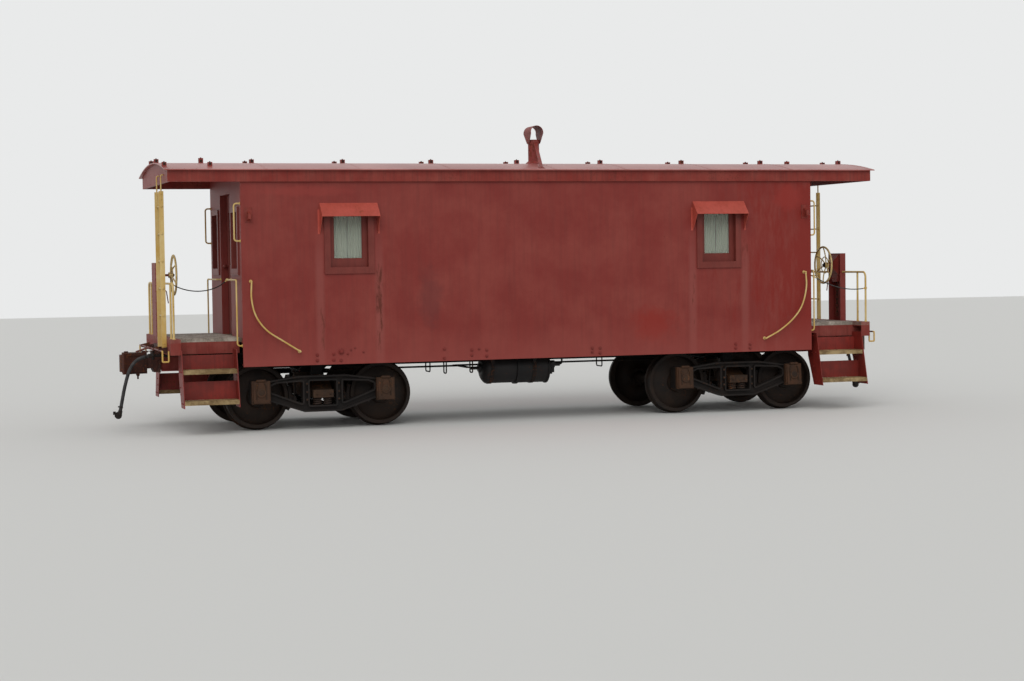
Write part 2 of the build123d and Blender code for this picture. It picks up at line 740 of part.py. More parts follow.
# Ladder at one side of each end: flat stiles on the end sill, and rods from them to the end board
ladder_ys = (-850, -450)
stile_width = 62
stile_plate = 12
ladder_bottom = end_sill_bottom + 90
ladder_top = 3160
ladder_rod_top = 3370
ladder_rod_radius = 9
ladder_rod_lap = 120
ladder_rod_bend = 25
rung_radius = 10
rung_pitch = 355
first_rung = floor_top + 300
ladder_x = -(end_sill_face + seat_gap + stile_width / 2)
with BuildPart() as west_ladder:
    for y in ladder_ys:
        with Locations((ladder_x, y, (ladder_bottom + ladder_top) / 2)):
            Box(stile_width, stile_plate, ladder_top - ladder_bottom)
        add(rod(
            [
                (ladder_x, y, ladder_top - ladder_rod_lap), (ladder_x, y, ladder_rod_top),
                (-half_roof - seat_gap, y, ladder_rod_top),
            ],
            ladder_rod_bend, 2 * ladder_rod_radius,
        ))
    rungs = int((ladder_top - 60 - first_rung) // rung_pitch) + 1
    for number in range(rungs):
        rung_z = first_rung + number * rung_pitch
        with Locations(Plane(origin=(ladder_x, sum(ladder_ys) / 2, rung_z), z_dir=(0, 1, 0))):
            Cylinder(rung_radius, ladder_ys[1] - ladder_ys[0])
with BuildPart() as ladders:
    with PolarLocations(0, 2):
        add(west_ladder.part)
save(ladders, "ladders")

# Hand brake post: a channel open towards the car, with the gear case in its top
post_y = 290
post_half = 185
post_depth = 88
post_plate = 10
post_top = 2235
post_outer = end_sill_face
wheel_centre_z = 2065
brake_wheel_radius = 280
brake_wheel_x = -4790
gear_case_half = 165
gear_case_bottom = 1815
gear_case_bottom_half = 70
gear_case_face = 55
gear_case_reach = 50
brake_shaft_radius = 16
release_drop = 190
with BuildPart() as west_post:
    with BuildSketch(Plane.XY.offset(floor_top + seat_gap)):
        for x, y, length, width in (
            (-post_outer + post_plate / 2, post_y, post_plate, 2 * post_half),
            (-post_outer + post_depth / 2, post_y - post_half + post_plate / 2, post_depth, post_plate),
            (-post_outer + post_depth / 2, post_y + post_half - post_plate / 2, post_depth, post_plate),
        ):
            with Locations((x, y)):
                Rectangle(length, width)
    extrude(amount=post_top - floor_top - seat_gap)
    # The case tapers downwards and towards the wheel
    with BuildSketch(Plane.YZ.offset(-post_outer + post_plate)):
        with BuildLine():
            Polyline(
                (post_y - gear_case_half, post_top), (post_y + gear_case_half, post_top),
                (post_y + gear_case_bottom_half, gear_case_bottom), (post_y - gear_case_bottom_half, gear_case_bottom),
                close=True,
            )
        make_face()
    extrude(amount=post_depth - post_plate)
    with BuildSketch(Plane.YZ.offset(-post_outer + post_depth)):
        with Locations((post_y, wheel_centre_z)):
            Rectangle(2 * gear_case_half - 60, 2 * gear_case_half - 40)
    with BuildSketch(Plane.YZ.offset(-post_outer + post_depth + gear_case_reach)):
        with Locations((post_y, wheel_centre_z)):
            Rectangle(2 * gear_case_face, 2 * gear_case_face)
    loft()
    shaft_start = -post_outer + post_depth + gear_case_reach - 5
    with Locations(Plane(origin=((shaft_start + brake_wheel_x + 30) / 2, post_y, wheel_centre_z), z_dir=(1, 0, 0))):
        Cylinder(brake_shaft_radius, brake_wheel_x + 30 - shaft_start)
    add(rod(
        [
            (-post_outer + post_depth - 20, post_y - 60, gear_case_bottom + 60),
            (-post_outer + post_depth + 70, post_y - 60, gear_case_bottom + 40),
            (-post_outer + post_depth + 95, post_y - 60, gear_case_bottom + 60 - release_drop),
        ],
        25, 14,
    ))
with BuildPart() as brake_posts:
    with PolarLocations(0, 2):
        add(west_post.part)
save(brake_posts, "brake_posts")

# Hand brake wheel: dished, with curved spokes and an inner ring
rim_radius = 14
hub_radius = 38
hub_length = 50
wheel_dish = 45
spokes = 6
spoke_radius = 9
inner_ring = 118
spoke_curl = 26
with BuildPart() as west_wheel:
    rim_x = brake_wheel_x + wheel_dish
    with Locations(Plane(origin=(rim_x, post_y, wheel_centre_z), z_dir=(1, 0, 0))):
        Torus(brake_wheel_radius - rim_radius, rim_radius)
    with Locations(Plane(origin=(brake_wheel_x + 18, post_y, wheel_centre_z), z_dir=(1, 0, 0))):
        Torus(inner_ring, spoke_radius - 2)
    with Locations(Plane(origin=(brake_wheel_x, post_y, wheel_centre_z), z_dir=(1, 0, 0))):
        Cylinder(hub_radius, hub_length)
    with BuildLine():
        spoke = ThreePointArc(
            (brake_wheel_x, post_y, wheel_centre_z + hub_radius - 8),
            (brake_wheel_x + wheel_dish / 2, post_y + spoke_curl, wheel_centre_z + brake_wheel_radius / 2),
            (rim_x, post_y, wheel_centre_z + brake_wheel_radius - rim_radius),
        )
    with BuildSketch(Plane(origin=spoke @ 0, z_dir=spoke % 0)):
        Circle(spoke_radius)
    swept = sweep(path=spoke, mode=Mode.PRIVATE)
    for number in range(spokes):
        add(swept.rotate(Axis((0, post_y, wheel_centre_z), (1, 0, 0)), number * 360 / spokes))
    with Locations(Plane(origin=(brake_wheel_x, post_y, wheel_centre_z), z_dir=(1, 0, 0))):
        Cylinder(brake_shaft_radius + seat_gap, 3 * hub_length, mode=Mode.SUBTRACT)
with BuildPart() as brake_wheels:
    with PolarLocations(0, 2):
        add(west_wheel.part)
save(brake_wheels, "brake_wheels")

# Brake chain inside the post: links turned a quarter from each other
link_pitch = 62
link_radius = 17
link_wire = 5
link_flat = link_wire * cos(radians(30))      # the wire is six sided
link_gap = 0.45
link_half = link_pitch / 2 + 2 * link_flat + link_gap
chain_top = gear_case_bottom - seat_gap
with BuildPart() as link:
    with BuildLine() as link_line:
        straight = link_half - link_flat - link_radius
        Line((0, -link_radius, -straight), (0, -link_radius, straight))
        ThreePointArc((0, -link_radius, straight), (0, 0, straight + link_radius), (0, link_radius, straight))
        Line((0, link_radius, straight), (0, link_radius, -straight))
        ThreePointArc((0, link_radius, -straight), (0, 0, -straight - link_radius), (0, -link_radius, -straight))
    with BuildSketch(Plane(origin=(0, -link_radius, 0), z_dir=(0, 0, 1))):
        RegularPolygon(link_wire, 6)
    sweep(path=link_line.line)
links = int((chain_top - floor_top - 2 * link_half) // link_pitch) + 1
chain_x = -post_outer + post_plate + link_radius + 20
with BuildPart() as west_chain:
    for number in range(links):
        middle_z = chain_top - link_half - number * link_pitch
        with Locations(Location((chain_x, post_y, middle_z), (0, 0, 90 * (number % 2)))):
            add(link.part)
with BuildPart() as brake_chains:
    with PolarLocations(0, 2):
        add(west_chain.part)
save(brake_chains, "brake_chains")

# End railings: uprights, rounded top corner and the bar to the brake post
rail_radius = 14
rail_bend = 75
rail_x = -4965
rail_top = 1960
rail_corner_y = 1175
rail_second_y = 935
eye_gap = 0.3
eye_wall = 7
eye_reach = 26
eye_pin = 8
eye_half_width = 12
eye_root = 1.5


def line_eye(at, along, towards, bar_radius):
    """Ring round a bar with a stub that points towards the hanging line's first run."""
    reach = bar_radius + eye_gap + eye_wall
    direction = (Vector(*towards) - Vector(*at)).normalized()
    with BuildPart() as eye:
        with BuildSketch(Plane(origin=at, z_dir=along)):
            Circle(reach)
            Circle(bar_radius + eye_gap, mode=Mode.SUBTRACT)
        extrude(amount=eye_half_width, both=True)
        with BuildSketch(Plane(origin=Vector(*at) + direction * (reach - eye_root), z_dir=direction)):
            Circle(eye_pin)
        extrude(amount=eye_reach)
    return eye.part, Vector(*at) + direction * (reach - eye_root + eye_reach)


with BuildPart() as west_railing:
    for side in (-1, 1):
        add(rod(
            [
                (rail_x, side * rail_corner_y, floor_top + seat_gap), (rail_x, side * rail_corner_y, rail_top),
                (rail_x, post_y + side * (post_half + seat_gap), rail_top),
            ],
            rail_bend, 2 * rail_radius,
        ))
        add(rod(
            [(rail_x, side * rail_second_y, floor_top + seat_gap), (rail_x, side * rail_second_y, rail_top)],
            0, 2 * rail_radius,
        ))
with BuildPart() as end_railings:
    with PolarLocations(0, 2):
        add(west_railing.part)
save(end_railings, "end_railings")

# Handrails on the end walls by the door, grab irons above them, and curved ones on the sides
handrail_radius = 11
handrail_knob = 14
handrail_off = 65
handrail_bend = 35
handrail_y = 1165
handrail_inner_y = 405
handrail_top = 1995
handrail_foot = 1140
grab_off = 80
grab_bottom = 2500
grab_top = 2985
foot_radius = 22
foot_plate = 6
# route of the curved handrail along the side: x, z
curved_rail = [(-3965, 1975), (-3965, 1560), (-3760, 1290), (-3340, 1050)]
curved_rail_bends = (150, 260)
with BuildPart() as handrails:
    wall_x = -half_body - seat_gap
    rail_out = -half_body - handrail_off
    grab_out = -half_body - grab_off
    for side in (-1, 1):
        add(rod(
            [
                (wall_x, side * handrail_inner_y, handrail_top), (rail_out, side * handrail_inner_y, handrail_top),
                (rail_out, side * handrail_y, handrail_top), (rail_out, side * handrail_y, handrail_foot),
                (wall_x, side * handrail_y, handrail_foot),
            ],
            handrail_bend, 2 * handrail_radius,
        ))
        add(rod(
            [
                (wall_x, side * handrail_y, grab_bottom), (grab_out, side * handrail_y, grab_bottom),
                (grab_out, side * handrail_y, grab_top), (wall_x, side * handrail_y, grab_top),
            ],
            handrail_bend, 2 * handrail_radius,
        ))
        for y, z in (
            (handrail_inner_y, handrail_top), (handrail_y, handrail_foot), (handrail_y, grab_bottom), (handrail_y, grab_top),
        ):
            with Locations(Plane(origin=(wall_x - foot_plate / 2, side * y, z), z_dir=(1, 0, 0))):
                Cylinder(foot_radius, foot_plate)
    # The side rail bends twice between its two feet
    side_y = -half_width - seat_gap
    out_y = -half_width - handrail_off
    with BuildLine() as curve:
        points = [(x, out_y, z) for x, z in curved_rail]
        FilletPolyline(*points, radius=curved_rail_bends)
    with BuildSketch(Plane(origin=curve.line @ 0, z_dir=curve.line % 0)):
        Circle(handrail_radius)
    sweep(path=curve.line)
    for x, z in (curved_rail[0], curved_rail[-1]):
        with Locations(Plane(origin=(x, (side_y + out_y) / 2, z), z_dir=(0, 1, 0))):
            Cylinder(handrail_radius, side_y - out_y)
        with Locations((x, out_y, z)):
            Sphere(handrail_knob)
        with Locations(Plane(origin=(x, side_y - foot_plate / 2, z), z_dir=(0, 1, 0))):
            Cylinder(foot_radius, foot_plate)
    mirror(about=Plane.XZ)
    mirror(about=Plane.YZ)
save(handrails, "handrails")

# Safety lines across the steps on the near side; each end hangs from an eye on a rail
line_radius = 7
west_line_start = (rail_x, -rail_corner_y + rail_bend + 20, rail_top)
west_line_end = (-half_body - handrail_off, -handrail_inner_y - 60, handrail_top)
east_line_start = (-rail_x, -rail_corner_y, 1728)
east_line_end = (half_body + handrail_off, -handrail_y, 1907)
west_line = [
    (-4895, -1045, 1917), (-4778, -942, 1878), (-4650, -829, 1856), (-4521, -715, 1853),
    (-4395, -603, 1869), (-4288, -530, 1900), (-4212, -489, 1943),
]
east_line = [
    (4880, -1172, 1716), (4740, -1169, 1713), (4600, -1166, 1731), (4460, -1165, 1766),
    (4330, -1164, 1815), (4230, -1163, 1864),
]
# line, eye at its start, direction of that bar, eye at its end, direction of that bar
lines = [
    ("west", west_line, west_line_start, (0, 1, 0), rail_radius, west_line_end, (0, 1, 0)),
    ("east", east_line, east_line_start, (0, 0, 1), rail_radius, east_line_end, (0, 0, 1)),
]
with BuildPart() as line_eyes:
    for name, points, start, start_bar, start_radius, end, end_bar in lines:
        first_eye, first_tip = line_eye(start, start_bar, points[0], start_radius)
        last_eye, last_tip = line_eye(end, end_bar, points[-1], handrail_radius)
        add(first_eye)
        add(last_eye)
        points.insert(0, tuple(first_tip))
        points.append(tuple(last_tip))
save(line_eyes, "line_eyes")
for name, points, *eyes in lines:
    radii = cord_radii(points)
    print(f"safety_line_{name} radii", [round(radius) for radius in radii])
    with BuildPart() as safety_line:
        add(rod(points, radii, 2 * line_radius))
    save(safety_line, f"safety_line_{name}")

# Couplers: shank, head with its guard arm, throat and pin lugs, and the horn over the striker
coupler_z = 900
coupler_face = 5520
head_half_height = 140
shank_half_width = 65
shank_half_height = 75
shank_inner = 4700
horn_x = 5175
knuckle_pin_x = 5425
knuckle_pin_y = 130
knuckle_pin_radius = 20
knuckle_boss = 58
knuckle_half_height = 114
with BuildPart() as west_coupler:
    with Locations((-(horn_x + shank_inner) / 2, 0, coupler_z)):
        Box(horn_x - shank_inner, 2 * shank_half_width, 2 * shank_half_height)
    with BuildSketch(Plane.XY.offset(coupler_z - head_half_height)):
        with BuildLine():
            Line((-horn_x, -85), (-5300, -112))
            ThreePointArc((-5300, -112), (-5400, -142), (-5490, -196))
            ThreePointArc((-5490, -196), (-5509, -184), (-5505, -160))
            Line((-5505, -160), (-5430, -82))
            ThreePointArc((-5430, -82), (-5378, -15), (-5372, 62))
            Line((-5372, 62), (-knuckle_pin_x, knuckle_pin_y - knuckle_boss))
            ThreePointArc(
                (-knuckle_pin_x, knuckle_pin_y - knuckle_boss), (-knuckle_pin_x - knuckle_boss, knuckle_pin_y),
                (-knuckle_pin_x, knuckle_pin_y + knuckle_boss),
            )
            Line((-knuckle_pin_x, knuckle_pin_y + knuckle_boss), (-5300, 165))
            Line((-5300, 165), (-horn_x, 85))
            Line((-horn_x, 85), (-horn_x, -85))
        make_face()
    extrude(amount=2 * head_half_height)
    # Horn above the shank, pocket for the knuckle and the holes of its pin
    with Locations((-horn_x - 20, 0, coupler_z + head_half_height + 10)):
        Box(70, 150, 20)
    with BuildSketch(Plane.XY.offset(coupler_z - knuckle_half_height - seat_gap)):
        with Locations((-knuckle_pin_x, knuckle_pin_y)):
            Circle(knuckle_boss + seat_gap + 12)
        with Locations((-5415, 60)):
            Rectangle(90, 90)
    extrude(amount=2 * (knuckle_half_height + seat_gap), mode=Mode.SUBTRACT)
    with Locations((-knuckle_pin_x, knuckle_pin_y, coupler_z)):
        Cylinder(knuckle_pin_radius + seat_gap, 2 * head_half_height, mode=Mode.SUBTRACT)
    # Lock lifter hanging under the head
    with Locations(Plane(origin=(-5290, 0, coupler_z - head_half_height - 15), z_dir=(0, 1, 0))):
        Cylinder(22, 60)
    with Locations((-5290, 0, coupler_z - head_half_height - 45)):
        Box(20, 30, 60)
with BuildPart() as couplers:
    with PolarLocations(0, 2):
        add(west_coupler.part)
save(couplers, "couplers")

with BuildPart() as west_knuckle:
    with BuildSketch(Plane.XY.offset(coupler_z - knuckle_half_height)):
        with BuildLine():
            Line((-knuckle_pin_x + 44, knuckle_pin_y - 30), (-5440, 58))
            ThreePointArc((-5440, 58), (-5452, 25), (-5446, -6))
            ThreePointArc((-5446, -6), (-5466, -24), (-5498, -18))
            ThreePointArc((-5498, -18), (-5515, 10), (-coupler_face, 50))
            ThreePointArc((-coupler_face, 50), (-5508, 130), (-5452, knuckle_pin_y + 50))
            ThreePointArc(
                (-5452, knuckle_pin_y + 50), (-knuckle_pin_x + 35, knuckle_pin_y + 40),
                (-knuckle_pin_x + 44, knuckle_pin_y - 30),
            )
        make_face()
    extrude(amount=2 * knuckle_half_height)
    with Locations((-knuckle_pin_x, knuckle_pin_y, coupler_z)):
        Cylinder(knuckle_pin_radius, 2 * head_half_height + 20)
    with Locations((-knuckle_pin_x, knuckle_pin_y, coupler_z + head_half_height + 8)):
        Cylinder(knuckle_pin_radius + 8, 14)
with BuildPart() as knuckles:
    with PolarLocations(0, 2):
        add(west_knuckle.part)
save(knuckles, "knuckles")

# Strikers on the ends of the centre sill, with the carrier under the shank
striker_plate = 30
striker_half = 235
striker_bottom = 775
with BuildPart() as west_striker:
    striker_x = -end_sill_face - seat_gap - striker_plate / 2
    striker_top = end_sill_bottom + 110
    with Locations((striker_x, 0, (striker_bottom + striker_top) / 2)):
        Box(striker_plate, 2 * striker_half, striker_top - striker_bottom)
    with Locations((striker_x - 40, 0, coupler_z + shank_half_height + 60)):
        Box(80, 2 * shank_half_width + 60, 50)
    for side in (-1, 1):
        with Locations((striker_x - 35, side * (shank_half_width + 32), coupler_z - 10)):
            Box(70, 30, 2 * shank_half_height + 40)
    carrier_height = coupler_z - shank_half_height - seat_gap - striker_bottom
    with Locations((striker_x - 30, 0, striker_bottom + carrier_height / 2)):
        Box(60, 2 * shank_half_width + 90, carrier_height)
    with Locations((striker_x, 0, coupler_z + 5)):
        Box(4 * striker_plate, 2 * shank_half_width + 12, 2 * shank_half_height + 10, mode=Mode.SUBTRACT)

# Uncoupling levers across the ends, each with a hanging loop as its handle
lever_radius = 11
lever_x = 5112
lever_z = 1095
lever_inner_x = 5032
lever_low = 958
lever_y = 1150
lever_eye_x = 5300
lever_eye_z = coupler_z + head_half_height + lever_radius + seat_gap
lever_bracket_ys = (380, 900)
bracket_width = 30
bracket_plate = 8
with BuildPart() as west_lever:
    for side in (-1, 1):
        add(rod(
            [
                (-lever_eye_x, side * 30, lever_eye_z), (-lever_x - 60, side * 30, lever_z), (-lever_x, side * 60, lever_z),
                (-lever_x, side * lever_y, lever_z), (-lever_x, side * lever_y, lever_low),
                (-lever_inner_x, side * lever_y, lever_low), (-lever_inner_x, side * lever_y, lever_z),
            ],
            12, 2 * lever_radius,
        ))
    add(rod([(-lever_eye_x, -40, lever_eye_z), (-lever_eye_x, 40, lever_eye_z)], 0, 2 * lever_radius))
with BuildPart() as uncoupling_levers:
    with PolarLocations(0, 2):
        add(west_lever.part)
save(uncoupling_levers, "uncoupling_levers")

with BuildPart() as west_brackets:
    for side in (-1, 1):
        for y in lever_bracket_ys:
            with BuildSketch(Plane.XZ.offset(-side * y)):
                with BuildLine():
                    reach = -lever_x - 3 * lever_radius / 2
                    sill = -end_sill_face - seat_gap
                    Polyline(
                        (sill, lever_z + 45), (sill, lever_z - 45), (reach, lever_z - lever_radius - 8),
                        (reach, lever_z + lever_radius + 8), close=True,
                    )
                make_face()
                with Locations((-lever_x, lever_z)):
                    Circle(lever_radius + seat_gap, mode=Mode.SUBTRACT)
            extrude(amount=bracket_plate / 2, both=True)
            with Locations((sill - bracket_plate / 2, side * y, lever_z)):
                Box(bracket_plate, 2 * bracket_width, 90)
with BuildPart() as end_castings:
    with PolarLocations(0, 2):
        add(west_striker.part)
        add(west_brackets.part)
save(end_castings, "end_castings")

# Train pipe from end to end with an angle cock at each end, and the hose that hangs from it
cock_x = 5128
cock_radius = 34
nozzle_radius = 27
hose_radius = 23
# hose of the west end; the east end's is the same turned half round
hose_start = Vector(-5190, -pipe_line_y, 1006)
hose_points = [
    (-5298, -pipe_line_y, 982), (-5386, -pipe_line_y, 914), (-5449, -pipe_line_y, 806),
    (-5499, -pipe_line_y, 633), (-5537, -pipe_line_y, 457), (-5568, -pipe_line_y, 295),
]
cock_centre = Vector(-cock_x, -pipe_line_y, pipe_line_z)
nozzle_aim = (Vector(*hose_points[0]) - hose_start).normalized()
# Each elbow is a fitting of its own between the straight lengths
pipe_bend = 100
elbow_reach = 115
crossing_half = pipe_line_y - elbow_reach - seat_gap
with BuildPart() as west_pipe:
    add(rod(
        [(-cock_x, -pipe_line_y, pipe_line_z), (-elbow_reach - seat_gap, -pipe_line_y, pipe_line_z)],
        0, 2 * pipe_line_radius,
    ))
    add(rod(
        [
            (-elbow_reach, -pipe_line_y, pipe_line_z), (0, -pipe_line_y, pipe_line_z),
            (0, elbow_reach - pipe_line_y, pipe_line_z),
        ],
        pipe_bend, 2 * pipe_line_radius,
    ))
    with Locations(cock_centre):
        Sphere(cock_radius)
        Cylinder(nozzle_radius - 6, 110)
    with Locations(cock_centre + Vector(-20, 0, 58)):
        Box(90, 18, 10)
    with BuildSketch(Plane(origin=cock_centre, z_dir=nozzle_aim)):
        Circle(nozzle_radius)
    extrude(amount=(hose_start - cock_centre).length, dir=(hose_start - cock_centre).normalized())
with BuildPart() as train_pipe:
    with PolarLocations(0, 2):
        add(west_pipe.part)
    add(rod([(0, -crossing_half, pipe_line_z), (0, crossing_half, pipe_line_z)], 0, 2 * pipe_line_radius))
save(train_pipe, "train_pipe")

gladhand_length = 62
gladhand_radius = 29
gladhand_face = 47
gladhand_thickness = 30
hose_route = [tuple(hose_start)] + hose_points
hose_radii = cord_radii(hose_route)
print("air_hose radii", [round(radius) for radius in hose_radii])
hose_end = Vector(*hose_points[-1])
hose_aim = (hose_end - Vector(*hose_points[-2])).normalized()
with BuildPart() as west_hose:
    add(rod(hose_route, hose_radii, 2 * hose_radius))
with BuildPart() as west_gladhand:
    with BuildSketch(Plane(origin=hose_end, z_dir=hose_aim)):
        Circle(gladhand_radius)
    extrude(amount=gladhand_length)
    head = hose_end + hose_aim * gladhand_length
    with Locations(Plane(origin=head + Vector(-18, 0, -2), z_dir=(0, 1, 0))):
        Cylinder(gladhand_face, gladhand_thickness)
        with Locations((0, 0, gladhand_thickness / 2)):
            Cylinder(gladhand_face / 2, 14)
    with Locations(head + Vector(-gladhand_face - 20, 0, 30)):
        Box(34, 16, 44)
for name, turn in (("west", 0), ("east", 180)):
    with BuildPart() as air_hose:
        add(west_hose.part.rotate(Axis.Z, turn))
    save(air_hose, f"air_hose_{name}")
    with BuildPart() as glad_hand:
        add(west_gladhand.part.rotate(Axis.Z, turn))
    save(glad_hand, f"glad_hand_{name}")

# Marker lamp brackets near the corners of the side walls, each with a socket
bracket_x = 3980
bracket_z = 2835
plate_half_width = 50
plate_half_height = 95
socket_radius = 24
socket_bore = 11
socket_depth = 70
socket_off = 100      # the lamp lifts out past the eave
with BuildPart() as lamp_brackets:
    face_y = -half_width - seat_gap
    with Locations((-bracket_x, face_y - foot_plate / 2, bracket_z)):
        Box(2 * plate_half_width, foot_plate, 2 * plate_half_height)
    with BuildSketch(Plane.YZ.offset(-bracket_x)):
        with BuildLine():
            Polyline(
                (face_y, bracket_z + 50), (face_y - socket_off, bracket_z + 10),
                (face_y - socket_off, bracket_z - 45), (face_y, bracket_z - 80), close=True,
            )
        make_face()
    extrude(amount=bracket_width / 2, both=True)
    with Locations((-bracket_x, face_y - socket_off, bracket_z - 20)):
        Cylinder(socket_radius, socket_depth)
        Cylinder(socket_bore, socket_depth, mode=Mode.SUBTRACT)
    mirror(about=Plane.XZ)
    mirror(about=Plane.YZ)
save(lamp_brackets, "lamp_brackets")

# Lamps under the platform ceilings
lamp_x = 4900
lamp_y = 190
lamp_base_radius = 60
lamp_globe_radius = 42
lamp_drop = 130
with BuildPart() as west_lamp:
    ceiling = arch_height(lamp_y + lamp_base_radius, roof_sheet + roof_boards) - seat_gap
    with BuildSketch(Plane(origin=(-lamp_x, lamp_y, 0), x_dir=(1, 0, 0), z_dir=(0, -1, 0))):
        with BuildLine():
            Line((0, ceiling), (lamp_base_radius, ceiling))
            Line((lamp_base_radius, ceiling), (lamp_base_radius - 6, ceiling - 22))
            Line((lamp_base_radius - 6, ceiling - 22), (lamp_globe_radius, ceiling - 30))
            Line((lamp_globe_radius, ceiling - 30), (lamp_globe_radius, ceiling - lamp_drop + lamp_globe_radius))
            ThreePointArc(
                (lamp_globe_radius, ceiling - lamp_drop + lamp_globe_radius),
                (lamp_globe_radius * cos(radians(45)), ceiling - lamp_drop + lamp_globe_radius * (1 - cos(radians(45)))),
                (0, ceiling - lamp_drop),
            )
            Line((0, ceiling - lamp_drop), (0, ceiling))
        make_face()
    revolve(axis=Axis(origin=(-lamp_x, lamp_y, 0), direction=(0, 0, 1)))
with BuildPart() as platform_lamps:
    with PolarLocations(0, 2):
        add(west_lamp.part)
save(platform_lamps, "platform_lamps")

# Brake cylinder and air reservoir bolted together under the floor, with the control valve
tank_radius = 222
tank_y = -600
tank_z = 722
tank_start = -190
tank_end = 262
tank_flange = 20
tank_dome = 70
cylinder_end = -690
push_rod_radius = 22
push_rod_end = -830
band_width = 50
band_plate = 8
hanger_half = 30
hanger_top = floor_top - floor_thickness - seat_gap
with BuildPart() as tank:
    with BuildSketch(Plane(origin=(0, tank_y, tank_z), x_dir=(1, 0, 0), z_dir=(0, -1, 0))):
        with BuildLine():
            Polyline(
                (tank_start + seat_gap, 0), (tank_start + seat_gap, tank_radius + 14),
                (tank_start + tank_flange, tank_radius + 14), (tank_start + tank_flange, tank_radius),
                (tank_end - tank_flange, tank_radius), (tank_end - tank_flange, tank_radius + 14),
                (tank_end, tank_radius + 14), (tank_end, 0), close=True,
            )
        make_face()
    revolve(axis=Axis(origin=(0, tank_y, tank_z), direction=(1, 0, 0)))
with BuildPart() as brake_cylinder:
    with BuildSketch(Plane(origin=(0, tank_y, tank_z), x_dir=(1, 0, 0), z_dir=(0, -1, 0))):
        with BuildLine():
            Line((tank_start, 0), (tank_start, tank_radius + 14))
            Line((tank_start, tank_radius + 14), (tank_start - tank_flange, tank_radius + 14))
            Line((tank_start - tank_flange, tank_radius + 14), (tank_start - tank_flange, tank_radius - 6))
            Line((tank_start - tank_flange, tank_radius - 6), (cylinder_end + tank_dome, tank_radius - 6))
            ThreePointArc(
                (cylinder_end + tank_dome, tank_radius - 6),
                (cylinder_end + 0.3 * tank_dome, 0.72 * tank_radius), (cylinder_end, 70),
            )
            Line((cylinder_end, 70), (cylinder_end - 30, 50))
            Line((cylinder_end - 30, 50), (cylinder_end - 30, push_rod_radius))
            Line((cylinder_end - 30, push_rod_radius), (push_rod_end, push_rod_radius))
            Line((push_rod_end, push_rod_radius), (push_rod_end, 0))
            Line((push_rod_end, 0), (tank_start, 0))
        make_face()
    revolve(axis=Axis(origin=(0, tank_y, tank_z), direction=(1, 0, 0)))
save(brake_cylinder, "brake_cylinder")

with BuildPart() as tank_bands:
    for x, radius in (((tank_start + tank_end) / 2, tank_radius), (cylinder_end + tank_dome + band_width, tank_radius - 6)):
        with BuildSketch(Plane.YZ.offset(x)):
            with Locations((tank_y, tank_z)):
                Circle(radius + seat_gap + band_plate)
            with Locations((tank_y, (tank_z + hanger_top) / 2)):
                Rectangle(2 * radius, hanger_top - tank_z)
            with Locations((tank_y, tank_z)):
                Circle(radius + seat_gap, mode=Mode.SUBTRACT)
            with Locations((tank_y, (tank_z + radius + 45 + hanger_top) / 2)):
                Rectangle(2 * radius - 4 * hanger_half, hanger_top - tank_z - radius - 75, mode=Mode.SUBTRACT)
        extrude(amount=band_width / 2, both=True)

# Control valve on the end of the reservoir, with its pipe to the train pipe
valve_x = 330
valve_z = 745
valve_flange = 95
valve_flange_plate = 28
branch_radius = 13
branch_x = 510
branch_y = -215
with BuildPart() as air_reservoir:
    add(tank.part)
    with Locations(Plane(origin=(tank_end + valve_flange_plate / 2, tank_y, valve_z), z_dir=(1, 0, 0))):
        Cylinder(valve_flange, valve_flange_plate)
    with Locations(Plane(origin=(valve_x, tank_y, valve_z), z_dir=(1, 0, 0))):
        Cylinder(52, 130)
    with Locations((valve_x + 20, tank_y, valve_z - 40)):
        Cylinder(45, 150)
    with Locations(Plane(origin=(valve_x + 20, tank_y - 55, valve_z), z_dir=(0, 1, 0))):
        Cylinder(36, 90)
    with Locations((valve_x + 20, tank_y, valve_z - 122)):
        Cylinder(16, 30)
    with Locations(Plane(origin=(valve_x + 110, tank_y, valve_z), z_dir=(1, 0, 0))):
        Cylinder(30, 70)
    add(rod(
        [
            (valve_x + 120, tank_y, valve_z), (branch_x, tank_y, valve_z), (branch_x, tank_y, pipe_line_z),
            (branch_x, branch_y, pipe_line_z), (pipe_line_radius + seat_gap, branch_y, pipe_line_z),
        ],
        30, 2 * branch_radius,
    ))
save(air_reservoir, "air_reservoir")

# Cylinder lever, pull rods to the trucks and the loops that guard them
guard_radius = 9
guard_bend = 28
guard_low = 665
bearer_bottom = side_sill_bottom + bearer_drop
